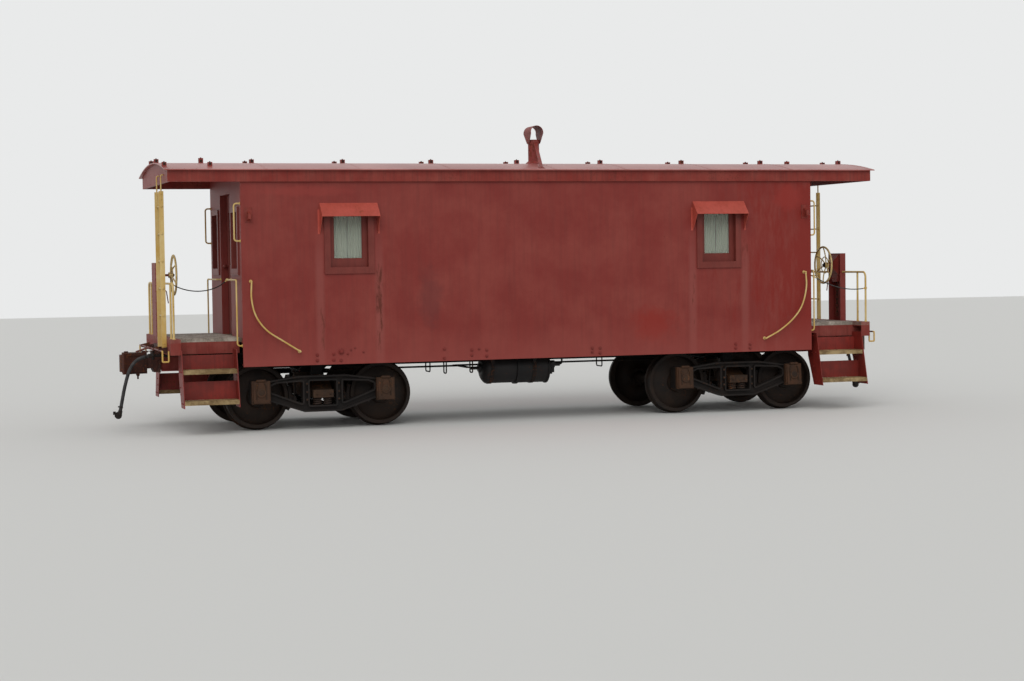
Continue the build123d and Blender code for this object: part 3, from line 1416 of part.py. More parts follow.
# x, y, half width, where its legs end
guards = [
    (-1190, tank_y, 62, bearer_bottom),
    (-815, tank_y, 62, hanger_top),
    (-bearer_x - 30, -40, 110, bearer_bottom),
    (bearer_x + 30, -40, 110, bearer_bottom),
]
pull_radius = 13
pull_z = 735
pull_reach = 2745
pull_ys = (-100, 20)
lever_bar = 60
lever_bar_plate = 18
lever_bar_end = 70
jaw_length = 90
jaw_width = 46
with BuildPart() as brake_rigging:
    add(tank_bands.part)
    for x, y, half, top in guards:
        add(rod(
            [
                (x, y - half, top - seat_gap), (x, y - half, guard_low), (x, y + half, guard_low),
                (x, y + half, top - seat_gap),
            ],
            guard_bend, 2 * guard_radius,
        ))
    lever_bar_x = push_rod_end - lever_bar / 2
    lever_length = lever_bar_end - tank_y + lever_bar / 2
    with Locations((lever_bar_x, lever_bar_end - lever_length / 2, pull_z)):
        Box(lever_bar, lever_length, lever_bar_plate)
    for end, y in zip((-1, 1), pull_ys):
        length = abs(end * pull_reach - lever_bar_x)
        with Locations(Plane(origin=((end * pull_reach + lever_bar_x) / 2, y, pull_z), z_dir=(1, 0, 0))):
            Cylinder(pull_radius, length)
        with Locations((end * (pull_reach - jaw_length / 2), y, pull_z)):
            Box(jaw_length, jaw_width, 2 * pull_radius + 8)
        with Locations((end * (pull_reach - jaw_length / 2 + 20), y, pull_z)):
            Box(jaw_length, jaw_width / 2.5, 2 * pull_radius + 8, mode=Mode.SUBTRACT)
save(brake_rigging, "brake_rigging")

# Trucks: cast side frames with journal boxes, spring plank, bolster, springs and brake gear
frame_y = 990
frame_half = 55
frame_web = 10
frame_flange = 22
frame_bottom = 237
frame_top = 718
frame_bottom_half = 250
column_inner = 180
column_outer = 248
bolster_window_top = 645
spring_seat = 325
window_round = 28
box_half = 122
box_inner = 880
box_front = 1128
box_bottom = 368
box_top = 668
lid_plate = 16
lid_half = 104
plank_plate = 12
plank_half = 170
bolster_top = 668
bolster_low = 405
bolster_end_low = 425
bolster_end_top = 527
bolster_end = 1075
bolster_shoulder = 900
bolster_side = 150
bolster_end_side = 135
bowl_rim = 24
bowl_rim_top = 718
spring_radius = 62
spring_core = 46
spring_turns = 4
spring_offset = 68
shoe_gap = 6
shoe_thickness = 42
shoe_width = 84
shoe_y = 760
shoe_angles = (163, 205)
beam_x = 335
beam_depth = 40
beam_height = 60
beam_z = 400
beam_half = 830
strut_reach = 118
truss_radius = 11
hanger_z = 682
hanger_x = 322
hanger_radius = 11
live_lever_top = 700
bottom_rod_z = 365
# outline of half a side frame from its bottom: x, z
frame_outline = [
    (frame_bottom_half, frame_bottom), (half_base - 100, 402), (half_base + 105, 402), (half_base + 105, 600),
    (half_base + 60, 640), (half_base - 110, 662), (330, frame_top),
]
# triangular window beside a column: x, z
frame_window = [
    (column_outer + 22, 348), (column_outer + 22, 642), (620, 626), (half_base - 142, 590), (half_base - 142, 512),
]
for truck_name, middle in (("west", -truck_x), ("east", truck_x)):
    with BuildPart() as truck_frames:
        for side in (-1, 1):
            side_plane = Plane(origin=(middle, side * frame_y, 0), x_dir=(1, 0, 0), z_dir=(0, -1, 0))
            with BuildSketch(side_plane) as frame_face:
                with BuildLine():
                    Polyline(*frame_outline, *[(-x, z) for x, z in reversed(frame_outline)], close=True)
                make_face()
                for turn in (-1, 1):
                    with BuildLine():
                        Polyline(*[(turn * x, z) for x, z in frame_window], close=True)
                    make_face(mode=Mode.SUBTRACT)
                with Locations((0, (spring_seat + bolster_window_top) / 2)):
                    Rectangle(2 * column_inner, bolster_window_top - spring_seat, mode=Mode.SUBTRACT)
                fillet(frame_face.vertices(), window_round / 2)
            extrude(amount=frame_web, both=True)
            with BuildSketch(side_plane) as frame_edges:
                add(frame_face.face())
                offset(amount=-frame_flange, kind=Kind.INTERSECTION, mode=Mode.SUBTRACT)
            extrude(amount=frame_half, both=True)
            for turn in (-1, 1):
                box_x = middle + turn * half_base
                # The lid slopes on the front of the box and hinges at its top
                with BuildSketch(Plane(origin=(box_x, 0, 0), x_dir=(0, side, 0), z_dir=(side, 0, 0))):
                    with BuildLine():
                        Polyline(
                            (box_inner, box_bottom), (box_front, box_bottom), (box_front, box_bottom + 40),
                            (box_front - 22, box_top), (box_inner, box_top), close=True,
                        )
                    make_face()
                extrude(amount=box_half, both=True)
                with BuildSketch(Plane(origin=(box_x, 0, 0), x_dir=(0, side, 0), z_dir=(side, 0, 0))):
                    with BuildLine():
                        Polyline(
                            (box_front - 1, box_bottom + 10), (box_front + lid_plate, box_bottom + 10),
                            (box_front + lid_plate, box_bottom + 44), (box_front - 22 + lid_plate, box_top - 12),
                            (box_front - 24, box_top - 12), close=True,
                        )
                    make_face()
                extrude(amount=lid_half, both=True)
                with Locations(Plane(origin=(box_x, side * (box_front - 8), box_top + 4), z_dir=(1, 0, 0))):
                    Cylinder(18, 110)
                with Locations(Plane(origin=(box_x, side * (box_front + 8), axle_height + 70), z_dir=(0, side, 0.08))):
                    Cylinder(58, 26)
                bore_end = journal_centre + journal_length / 2 + play
                with Locations(Plane(origin=(box_x, side * bore_end / 2, axle_height), z_dir=(0, 1, 0))):
                    Cylinder(journal_radius + journal_gap, bore_end, mode=Mode.SUBTRACT)
        with Locations((middle, 0, spring_seat - plank_plate / 2)):
            Box(2 * plank_half, 2 * (frame_y - frame_web), plank_plate)
        for turn in (-1, 1):
            with Locations((middle + turn * (plank_half - plank_plate / 2), 0, spring_seat - 25)):
                Box(plank_plate, 2 * (frame_y - frame_half), 50)
    save(truck_frames, f"truck_frames_{truck_name}")

    with BuildPart() as truck_bolster:
        with BuildSketch(Plane.YZ.offset(middle)):
            with BuildLine():
                Polyline(
                    (-bolster_shoulder, bolster_end_low), (-bolster_shoulder, bolster_end_top), (-720, 640),
                    (-300, bolster_top), (300, bolster_top), (720, 640), (bolster_shoulder, bolster_end_top),
                    (bolster_shoulder, bolster_end_low), (560, bolster_end_low), (300, bolster_low),
                    (-300, bolster_low), (-560, bolster_end_low), close=True,
                )
            make_face()
        extrude(amount=bolster_side, both=True)
        with Locations((middle, 0, (bolster_end_low + bolster_end_top) / 2)):
            Box(2 * bolster_end_side, 2 * bolster_end, bolster_end_top - bolster_end_low)
        with BuildSketch(Plane.YZ.offset(middle)):
            for side in (-1, 1):
                with Locations((side * 430, 535)):
                    SlotOverall(240, 110)
        extrude(amount=bolster_side, both=True, mode=Mode.SUBTRACT)
        for side in (-1, 1):
            pad_height = side_bearing_bottom - play - 640
            with Locations((middle, side * side_bearing_y, 640 + pad_height / 2)):
                Box(140, 80, pad_height)
        # Centre bowl that takes the body's centre plate, and the hole for the king pin
        bowl_height = bowl_rim_top - bolster_top
        with Locations((middle, 0, bolster_top + bowl_height / 2)):
            Cylinder(centre_plate_radius + play + bowl_rim, bowl_height)
        recess = bowl_rim_top - centre_plate_bottom + seat_gap
        with Locations((middle, 0, bowl_rim_top - recess / 2)):
            Cylinder(centre_plate_radius + play, recess, mode=Mode.SUBTRACT)
        with Locations((middle, 0, bowl_rim_top / 2)):
            Cylinder(pin_radius + play, bowl_rim_top, mode=Mode.SUBTRACT)
    save(truck_bolster, f"truck_bolster_{truck_name}")

    with BuildPart() as truck_springs:
        spring_height = bolster_end_low - spring_seat - 2 * seat_gap
        pitch = spring_height / spring_turns
        for side in (-1, 1):
            for x in (-spring_offset, spring_offset):
                spring_x = middle + x
                spring_y = side * frame_y
                profile = [(0, spring_seat + seat_gap)]
                for number in range(spring_turns):
                    low = spring_seat + seat_gap + number * pitch
                    profile += [
                        (spring_core, low), (spring_radius, low + 0.25 * pitch), (spring_radius, low + 0.75 * pitch),
                    ]
                profile += [(spring_core, spring_seat + seat_gap + spring_height), (0, spring_seat + seat_gap + spring_height)]
                with BuildSketch(Plane(origin=(spring_x, spring_y, 0), x_dir=(1, 0, 0), z_dir=(0, -1, 0))):
                    with BuildLine():
                        Polyline(*profile, close=True)
                    make_face()
                revolve(axis=Axis(origin=(spring_x, spring_y, 0), direction=(0, 0, 1)))
    save(truck_springs, f"truck_springs_{truck_name}")

    with BuildPart() as brake_gear:
        for turn in (-1, 1):
            with Locations((middle + turn * beam_x, 0, beam_z)):
                Box(beam_depth, 2 * beam_half, beam_height)
            strut_x = beam_x - strut_reach
            with Locations((middle + turn * (beam_x + strut_x) / 2, 0, beam_z)):
                Box(strut_reach, 44, 44)
            for side in (-1, 1):
                wheel_centre = middle + turn * half_base
                with BuildSketch(Plane(origin=(wheel_centre, side * shoe_y, axle_height), x_dir=(turn, 0, 0), z_dir=(0, -turn, 0))):
                    with BuildLine():
                        inner = wheel_radius + shoe_gap
                        start, stop = shoe_angles
                        CenterArc((0, 0), inner, start, stop - start)
                        Line(
                            (inner * cos(radians(stop)), inner * sin(radians(stop))),
                            ((inner + shoe_thickness) * cos(radians(stop)), (inner + shoe_thickness) * sin(radians(stop))),
                        )
                        CenterArc((0, 0), inner + shoe_thickness, start, stop - start)
                        Line(
                            (inner * cos(radians(start)), inner * sin(radians(start))),
                            ((inner + shoe_thickness) * cos(radians(start)), (inner + shoe_thickness) * sin(radians(start))),
                        )
                    make_face()
                extrude(amount=shoe_width / 2, both=True)
                head_x = (half_base - wheel_radius - shoe_gap - shoe_thickness + beam_x) / 2
                with Locations((middle + turn * (head_x + 4), side * shoe_y, beam_z)):
                    Box(half_base - wheel_radius - shoe_gap - shoe_thickness - beam_x + 16, shoe_width - 14, 110)
                add(rod(
                    [
                        (middle + turn * (beam_x + 6), side * (beam_half - 14), beam_z),
                        (middle + turn * hanger_x, side * (beam_half - 14), hanger_z),
                        (middle + turn * hanger_x, side * (frame_y - frame_web - seat_gap), hanger_z),
                    ],
                    24, 2 * hanger_radius,
                ))
                add(rod(
                    [
                        (middle + turn * beam_x, side * (beam_half - 90), beam_z),
                        (middle + turn * (strut_x + 8), 0, beam_z),
                    ],
                    0, 2 * truss_radius,
                ))
            with Locations((middle + turn * strut_x, 0, (live_lever_top + bottom_rod_z - 25) / 2)):
                Box(46, 18, live_lever_top - bottom_rod_z + 25)
        with Locations(Plane(origin=(middle, 0, bottom_rod_z), z_dir=(1, 0, 0))):
            Cylinder(pull_radius, 2 * strut_x)
    save(brake_gear, f"brake_gear_{truck_name}")

# Wheels and axles, numbered from the west end
wheel_back = gauge_back / 2
rim_depth = 58
plate_thickness = 30
hub_out = 160
hub_in = 10
hub_shoulder = 138
axle_xs = [truck * truck_x + turn * half_base for truck in (-1, 1) for turn in (-1, 1)]
for number, x in enumerate(axle_xs, start=1):
    with BuildPart() as wheels:
        for side in (-1, 1):
            with BuildSketch(Plane(origin=(x, 0, axle_height), x_dir=(0, side, 0), z_dir=(side, 0, 0))):
                tread = wheel_radius
                flange = wheel_radius + flange_height
                rim_in = tread - rim_depth
                plate_mid = (hub_shoulder + rim_in) / 2
                with BuildLine():
                    # Back of the wheel from the hub to the flange
                    Line((wheel_back - hub_in, wheel_seat_radius), (wheel_back - hub_in, hub_shoulder - 12))
                    ThreePointArc(
                        (wheel_back - hub_in, hub_shoulder - 12), (wheel_back + 62, plate_mid), (wheel_back + 16, rim_in),
                    )
                    Line((wheel_back + 16, rim_in), (wheel_back, rim_in + 10))
                    Line((wheel_back, rim_in + 10), (wheel_back, flange - 12))
                    ThreePointArc(
                        (wheel_back, flange - 12), (wheel_back + flange_width / 2 - 3, flange),
                        (wheel_back + flange_width - 8, tread + 8),
                    )
                    Line((wheel_back + flange_width - 8, tread + 8), (wheel_back + flange_width + 4, tread))
                    # Tread, front of the rim and the plate back to the hub
                    Line((wheel_back + flange_width + 4, tread), (wheel_back + rim_width, tread - 5))
                    Line((wheel_back + rim_width, tread - 5), (wheel_back + rim_width, rim_in + 8))
                    Line((wheel_back + rim_width, rim_in + 8), (wheel_back + 62, rim_in - 6))
                    ThreePointArc(
                        (wheel_back + 62, rim_in - 6), (wheel_back + 62 + plate_thickness, plate_mid - 10),
                        (wheel_back + 112, hub_shoulder + 8),
                    )
                    Line((wheel_back + 112, hub_shoulder + 8), (wheel_back + hub_out, hub_shoulder - 10))
                    Line((wheel_back + hub_out, hub_shoulder - 10), (wheel_back + hub_out, wheel_seat_radius))
                    Line((wheel_back + hub_out, wheel_seat_radius), (wheel_back - hub_in, wheel_seat_radius))
                make_face()
            revolve(axis=Axis(origin=(x, 0, axle_height), direction=(0, 1, 0)))
    save(wheels, f"wheels_{number}")
    with BuildPart() as axle:
        with BuildSketch(Plane(origin=(x, 0, axle_height), x_dir=(0, 1, 0), z_dir=(1, 0, 0))):
            with BuildLine():
                seat_in = wheel_back - hub_in - 4
                seat_out = wheel_back + hub_out + 4
                journal_out = journal_centre + journal_length / 2
                Polyline(
                    (-journal_out, 0), (-journal_out, journal_radius), (-seat_out, journal_radius),
                    (-seat_out, wheel_seat_radius), (-seat_in, wheel_seat_radius), (-seat_in + 30, axle_radius),
                    (seat_in - 30, axle_radius), (seat_in, wheel_seat_radius), (seat_out, wheel_seat_radius),
                    (seat_out, journal_radius), (journal_out, journal_radius), (journal_out, 0), close=True,
                )
            make_face()
        revolve(axis=Axis(origin=(x, 0, axle_height), direction=(0, 1, 0)))
    save(axle, f"axle_{number}")
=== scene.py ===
"""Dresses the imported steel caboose: paint, rust, timber, cloth, lines, hoses and fastenings.

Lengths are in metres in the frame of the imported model: X along the car, Y across it,
Z up from the ground. Turned half round about Z the car looks the same, so most trim is
placed once at the west end and once more turned round.
"""
import json
from math import asin, atan2, cos, pi, radians, sin, sqrt, tan

import bmesh
import bpy
from mathutils import Matrix, Vector

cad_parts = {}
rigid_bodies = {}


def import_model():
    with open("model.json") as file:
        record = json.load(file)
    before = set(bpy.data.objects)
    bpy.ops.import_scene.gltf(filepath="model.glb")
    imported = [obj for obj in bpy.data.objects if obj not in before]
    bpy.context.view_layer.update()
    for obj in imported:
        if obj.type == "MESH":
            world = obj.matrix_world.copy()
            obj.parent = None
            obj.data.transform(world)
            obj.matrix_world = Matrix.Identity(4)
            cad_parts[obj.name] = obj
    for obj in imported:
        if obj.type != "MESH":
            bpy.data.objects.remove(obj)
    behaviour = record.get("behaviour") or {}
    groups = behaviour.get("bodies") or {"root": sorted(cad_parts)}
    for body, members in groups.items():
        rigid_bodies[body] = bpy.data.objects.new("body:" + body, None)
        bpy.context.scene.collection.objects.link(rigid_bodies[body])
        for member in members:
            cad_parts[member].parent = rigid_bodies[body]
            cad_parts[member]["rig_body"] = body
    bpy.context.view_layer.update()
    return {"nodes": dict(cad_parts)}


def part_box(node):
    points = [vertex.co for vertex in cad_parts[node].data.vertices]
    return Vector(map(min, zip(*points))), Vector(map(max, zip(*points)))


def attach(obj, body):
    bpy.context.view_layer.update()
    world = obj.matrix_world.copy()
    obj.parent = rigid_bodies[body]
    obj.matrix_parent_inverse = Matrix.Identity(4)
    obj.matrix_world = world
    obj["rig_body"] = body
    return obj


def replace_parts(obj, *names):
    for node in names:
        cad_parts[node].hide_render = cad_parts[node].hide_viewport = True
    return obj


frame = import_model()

NODES = frame["nodes"]

bl_info = {
    "name": "Caboose Dresser",
    "version": (1, 0, 0),
    "blender": (4, 5, 0),
    "location": "View3D > Sidebar > Caboose",
    "description": "Paints a steel caboose and adds its cloth, lines, hoses and fastenings",
    "category": "Object",
}

MM = 0.001
HALF_TURN = Matrix.Rotation(pi, 4, "Z")
ACROSS_X = Matrix.Diagonal((-1, 1, 1, 1))
ACROSS_Y = Matrix.Diagonal((1, -1, 1, 1))

# Places on the car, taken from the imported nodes
WALL_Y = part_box("side_walls")[1].y
WALL_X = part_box("side_walls")[1].x
DECK_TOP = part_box("platform_decks")[1].z
END_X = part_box("platform_decks")[1].x
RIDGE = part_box("roof")[1].z
EAVE_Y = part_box("roof")[1].y
BOARD_X, BOARD_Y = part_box("fascia")[0].xy

# Measures of the solids that no node's box gives
ROOF_RISE = 0.135
ROOF_RADIUS = (EAVE_Y ** 2 + ROOF_RISE ** 2) / (2 * ROOF_RISE)
WINDOW_X = 2.65
TRUCK_X = 3.0
HALF_WHEELBASE = 0.838
SIDE_FRAME_Y = 0.990
DOOR_X = 3.971
TRAIN_PIPE_Y = -0.33
TRAIN_PIPE_Z = 1.010

# Where a colour changes, in metres out from the car's middle planes
WASHED_X = 0.40
BOX_START = 1.052
HANDLE_START = 1.12
END_PLANK_X = 4.878


def linear(code):
    """Linear red, green, blue of an sRGB hex colour."""
    parts = [int(code[i:i + 2], 16) / 255 for i in (0, 2, 4)]
    return tuple(c / 12.92 if c <= 0.04045 else ((c + 0.055) / 1.055) ** 2.4 for c in parts)


def shade(code):
    """Colour with an alpha of one, from a hex code or from the colour property of that name."""
    own = getattr(bpy.context.scene.caboose_paint, code, None)
    return (*(linear(code) if own is None else own), 1.0)


class CaboosePaint(bpy.types.PropertyGroup):
    """Colours of the car"""
    body: bpy.props.FloatVectorProperty(
        name="Body", description="Oxide red enamel of the sides and ends", subtype="COLOR", size=3,
        min=0, max=1, default=linear("7a2a24"))
    hoods: bpy.props.FloatVectorProperty(
        name="Hoods", description="Fresher red of the window hoods", subtype="COLOR", size=3,
        min=0, max=1, default=linear("b14f42"))
    rails: bpy.props.FloatVectorProperty(
        name="Rails", description="Safety yellow of ladders and handrails", subtype="COLOR", size=3,
        min=0, max=1, default=linear("c19d54"))
    cloth: bpy.props.FloatVectorProperty(
        name="Curtains", description="Washed cotton of the curtains", subtype="COLOR", size=3,
        min=0, max=1, default=linear("9ca08b"))


class CabooseSizes(bpy.types.PropertyGroup):
    """Sizes of the lines, hoses, cloth and fastenings"""
    line_width: bpy.props.FloatProperty(
        name="Safety Line", description="Diameter of the safety lines across the steps",
        default=14 * MM, min=0.004, unit="LENGTH", subtype="DISTANCE")
    hose_width: bpy.props.FloatProperty(
        name="Air Hose", description="Diameter of the air hoses",
        default=46 * MM, min=0.02, unit="LENGTH", subtype="DISTANCE")
    pleat: bpy.props.FloatProperty(
        name="Pleat", description="Width of one gathered pleat of a curtain",
        default=38 * MM, min=0.01, unit="LENGTH", subtype="DISTANCE")
    bolt: bpy.props.FloatProperty(
        name="Bolt", description="Radius over the corners of the sill bolts' heads",
        default=17 * MM, min=0.003, unit="LENGTH", subtype="DISTANCE")
    rivet: bpy.props.FloatProperty(
        name="Rivet", description="Radius of a rivet's head",
        default=9 * MM, min=0.002, unit="LENGTH", subtype="DISTANCE")


class CabooseStage(bpy.types.PropertyGroup):
    """Floor and light"""
    floor: bpy.props.FloatVectorProperty(
        name="Floor", description="Pale studio floor", subtype="COLOR", size=3,
        min=0, max=1, default=linear("d9d8d4"))
    sky: bpy.props.FloatProperty(
        name="Sky", description="Strength of the even light from all round", default=0.62, min=0)
    key: bpy.props.FloatProperty(
        name="Key", description="Strength of the soft lamp over the near side", default=1.25, min=0)


def add(tree, kind, inputs=None, **settings):
    """Adds a shader node, sets it, fills its inputs with values or links, and returns its outputs."""
    made = tree.nodes.new("ShaderNode" + kind)
    for key, value in settings.items():
        setattr(made, key, value)
    for key, value in (inputs or {}).items():
        if isinstance(value, bpy.types.NodeSocket):
            tree.links.new(value, made.inputs[key])
        else:
            made.inputs[key].default_value = value
    return made.outputs


def surface(name, gleam=0.5):
    """A new material of that name, its tree, its shader and the place on the car in metres.

    Chalk and dirt break up the mirror film of paint or metal: gleam is what they leave of it.
    """
    material = bpy.data.materials.new(name)
    material.use_nodes = True
    tree = material.node_tree
    place = add(tree, "TexCoord")["Object"]
    shader = tree.nodes["Principled BSDF"]
    shader.inputs["Specular IOR Level"].default_value = gleam
    return material, tree, shader, place


def blotches(tree, at, low, high, noise, least=0.0, most=1.0):
    """Mask over a noise pattern: least where the pattern is under low, most where it is over high."""
    pattern = add(tree, "TexNoise", {"Vector": at, **noise})[0]
    return add(tree, "MapRange", {
        "Value": pattern, "From Min": low, "From Max": high, "To Min": least, "To Max": most})[0]


def weather(tree, place, paint, faded, grime, rust, faded_size, rusted, streak):
    """Colour of old enamel, and how far it has rusted.

    Fading comes in patches of faded_size metres, grime runs down in streaks 40 mm wide,
    and rust breaks out in spots of 30 mm where the patches of rusted allow it.
    """
    patch = blotches(
        tree, place, 0.38, 0.66, {"Scale": 1 / faded_size, "Detail": 5, "Roughness": 0.62})
    colour = add(tree, "Mix", {0: patch, 6: shade(paint), 7: shade(faded)}, data_type="RGBA")[2]
    drawn = add(tree, "Mapping", {"Vector": place, "Scale": (1 / (40 * MM), 1 / (40 * MM), 1.3)})[0]
    run = blotches(tree, drawn, 0.45, 0.8, {"Scale": 1, "Detail": 4, "Roughness": 0.7}, most=streak)
    colour = add(tree, "Mix", {0: run, 6: colour, 7: shade(grime)}, data_type="RGBA")[2]
    spots = add(tree, "TexNoise", {"Vector": place, "Scale": 33, "Detail": 7, "Roughness": 0.75})[0]
    share = add(tree, "TexNoise", {"Vector": place, "Scale": 2.3, "Detail": 3})[0]
    allowed = add(tree, "Math", {0: share, 1: 0.5, 2: spots}, operation="MULTIPLY_ADD")[0]
    spot = add(tree, "MapRange", {
        "Value": allowed, "From Min": 0.97 - rusted, "From Max": 1.04 - rusted})[0]
    colour = add(tree, "Mix", {0: spot, 6: colour, 7: shade(rust)}, data_type="RGBA")[2]
    return colour, spot


def side_marks(tree, place, colour):
    """Stains of the sides: rust towards the east corner, scuffed patches, washed bands, chalking."""
    axes = add(tree, "SeparateXYZ", {0: place})
    east = add(tree, "MapRange", {
        "Value": axes[0], "From Min": 1.9, "From Max": 3.9, "To Min": -0.2, "To Max": 0.19})[0]
    drawn = add(tree, "Mapping", {"Vector": place, "Scale": (7, 7, 1.6)})[0]
    runs = add(tree, "TexNoise", {"Vector": drawn, "Scale": 1, "Detail": 8, "Roughness": 0.72})[0]
    bleed = add(tree, "Math", {0: runs, 1: east}, operation="ADD")[0]
    bled = add(tree, "MapRange", {"Value": bleed, "From Min": 0.5, "From Max": 0.68, "To Max": 0.88})[0]
    colour = add(tree, "Mix", {0: bled, 6: colour, 7: shade("7a1e15")}, data_type="RGBA")[2]
    # Scuffed and repainted patches: centre x and z, half sizes, colour and strength
    ragged = add(tree, "TexNoise", {"Vector": place, "Scale": 7, "Detail": 6, "Roughness": 0.7})[0]
    for centre_x, centre_z, half_x, half_z, code, most in (
        (1.66, 1.27, 0.42, 0.30, "85241a", 0.8), (-1.55, 1.72, 0.22, 0.5, "5d2a28", 0.45),
        (3.72, 3.05, 0.30, 0.25, "8a2a22", 0.7), (-3.2, 3.14, 0.9, 0.08, "8c352e", 0.5),
    ):
        spread = add(tree, "Mapping", {
            "Vector": place, "Location": (-centre_x / half_x, 0, -centre_z / half_z),
            "Scale": (1 / half_x, 0, 1 / half_z)})[0]
        away = add(tree, "VectorMath", {0: spread}, operation="LENGTH")["Value"]
        torn = add(tree, "Math", {0: ragged, 1: 1.6, 2: away}, operation="MULTIPLY_ADD")[0]
        inside = add(tree, "MapRange", {
            "Value": torn, "From Min": 1.75, "From Max": 1.2, "To Max": most})[0]
        colour = add(tree, "Mix", {0: inside, 6: colour, 7: shade(code)}, data_type="RGBA")[2]
    # Paler bands where water falls from the wings of the hoods, with rust along their edges
    aside = add(tree, "Math", {0: axes[0]}, operation="ABSOLUTE")[0]
    by_window = add(tree, "Math", {0: aside, 1: WINDOW_X}, operation="SUBTRACT")[0]
    off_window = add(tree, "Math", {0: by_window}, operation="ABSOLUTE")[0]
    from_wing = add(tree, "Math", {0: off_window, 1: WASHED_X}, operation="SUBTRACT")[0]
    wing_way = add(tree, "Math", {0: from_wing}, operation="ABSOLUTE")[0]
    band = add(tree, "MapRange", {"Value": wing_way, "From Min": 0.075, "From Max": 0.03})[0]
    below = add(tree, "MapRange", {"Value": axes[2], "From Min": 2.62, "From Max": 2.2})[0]
    washed = add(tree, "Math", {0: band, 1: below}, operation="MULTIPLY")[0]
    pale = add(tree, "Math", {0: washed, 1: 0.42}, operation="MULTIPLY")[0]
    colour = add(tree, "Mix", {0: pale, 6: colour, 7: shade("8d4d46")}, data_type="RGBA")[2]
    bitten = add(tree, "MapRange", {"Value": runs, "From Min": 0.56, "From Max": 0.64})[0]
    pitted = add(tree, "Math", {0: washed, 1: bitten}, operation="MULTIPLY")[0]
    colour = add(tree, "Mix", {0: pitted, 6: colour, 7: shade("5c2519")}, data_type="RGBA")[2]
    # Chalked paint near the foot of the sheet
    chalk = add(tree, "MapRange", {"Value": axes[2], "From Min": 1.35, "From Max": 0.9, "To Max": 0.5})[0]
    return add(tree, "Mix", {0: chalk, 6: colour, 7: shade("8b4039")}, data_type="RGBA")[2]


def past(tree, place, axis, start, near, far):
    """One colour near the car's middle plane of that axis, and another beyond start metres from it."""
    axes = add(tree, "SeparateXYZ", {0: place})
    aside = add(tree, "Math", {0: axes[axis]}, operation="ABSOLUTE")[0]
    outside = add(tree, "MapRange", {"Value": aside, "From Min": start, "From Max": start + 5 * MM})[0]
    return add(tree, "Mix", {0: outside, 6: near, 7: far}, data_type="RGBA")[2]


def beyond(axis, start, *coat):
    """Marks that lay another weathered coat on all that is past start metres out on that axis."""
    return lambda tree, place, colour: past(
        tree, place, axis, start, colour, weather(tree, place, *coat)[0])


def yellow_handle(tree, place, colour):
    """Safety yellow on the handle at the outer end of an uncoupling lever."""
    return past(tree, place, 1, HANDLE_START, colour, shade("rails"))


def enamel(
        name, paint, faded, grime, rust,
        rusted=0.0, streak=0.5, gloss=0.5, faded_size=0.55, marks=None, dents=0.0, gleam=0.28):
    """Brushed alkyd enamel on steel: brush marks soften its gloss, and rust breaks through it."""
    material, tree, shader, place = surface(name, gleam)
    colour, spot = weather(tree, place, paint, faded, grime, rust, faded_size, rusted, streak)
    if marks:
        colour = marks(tree, place, colour)
    rough = add(tree, "MapRange", {"Value": spot, "To Min": gloss, "To Max": 0.85})[0]
    # Brush marks 4 mm apart, and the shallow buckles between the frames behind the sheet
    brushed = add(tree, "TexNoise", {"Vector": place, "Scale": 1 / (4 * MM), "Detail": 2})[0]
    grain = add(tree, "Bump", {"Strength": 0.35, "Distance": 0.4 * MM, "Height": brushed})[0]
    crust = add(tree, "Bump", {"Strength": 0.6, "Distance": 0.8 * MM, "Height": spot, "Normal": grain})[0]
    if dents:
        buckled = add(tree, "TexNoise", {"Vector": place, "Scale": 1.5, "Detail": 1})[0]
        crust = add(tree, "Bump", {
            "Strength": 1.0, "Distance": dents, "Height": buckled, "Normal": crust})[0]
    tree.links.new(colour, shader.inputs["Base Color"])
    tree.links.new(rough, shader.inputs["Roughness"])
    tree.links.new(crust, shader.inputs["Normal"])
    return material


def scaled_iron(name, bare, dark, rust, rusted, gloss=0.66, marks=None):
    """Sand cast or forged iron: a pebbled skin with brown rust lying in its hollows."""
    material, tree, shader, place = surface(name, 0.2)
    colour, spot = weather(tree, place, bare, dark, dark, rust, 0.25, rusted, 0.4)
    if marks:
        colour = marks(tree, place, colour)
    skin = add(tree, "TexNoise", {
        "Vector": place, "Scale": 1 / (6 * MM), "Detail": 5, "Roughness": 0.7})[0]
    cast = add(tree, "Bump", {"Strength": 0.55, "Distance": 1.2 * MM, "Height": skin})[0]
    rough = add(tree, "MapRange", {"Value": spot, "To Min": gloss, "To Max": 0.9})[0]
    tree.links.new(colour, shader.inputs["Base Color"])
    tree.links.new(rough, shader.inputs["Roughness"])
    tree.links.new(cast, shader.inputs["Normal"])
    return material


def timber(name, early, late, worn, along, marks=None):
    """Sawn plank: its grain is drawn out along the board, and soft wood has worn below the rings."""
    material, tree, shader, place = surface(name, 0.22)
    drawn = add(tree, "Mapping", {"Vector": place, "Scale": along})[0]
    grain = add(tree, "TexNoise", {
        "Vector": drawn, "Scale": 1 / (120 * MM), "Detail": 6, "Roughness": 0.65, "Distortion": 0.4})[0]
    rings = add(tree, "MapRange", {"Value": grain, "From Min": 0.35, "From Max": 0.65})[0]
    colour = add(tree, "Mix", {0: rings, 6: shade(early), 7: shade(late)}, data_type="RGBA")[2]
    wear = blotches(tree, place, 0.46, 0.6, {"Scale": 4.5, "Detail": 6, "Roughness": 0.7})
    colour = add(tree, "Mix", {0: wear, 6: colour, 7: shade(worn)}, data_type="RGBA")[2]
    if marks:
        colour = marks(tree, place, colour)
    raised = add(tree, "Bump", {"Strength": 0.7, "Distance": 1.0 * MM, "Height": grain})[0]
    shader.inputs["Roughness"].default_value = 0.75
    tree.links.new(colour, shader.inputs["Base Color"])
    tree.links.new(raised, shader.inputs["Normal"])
    return material


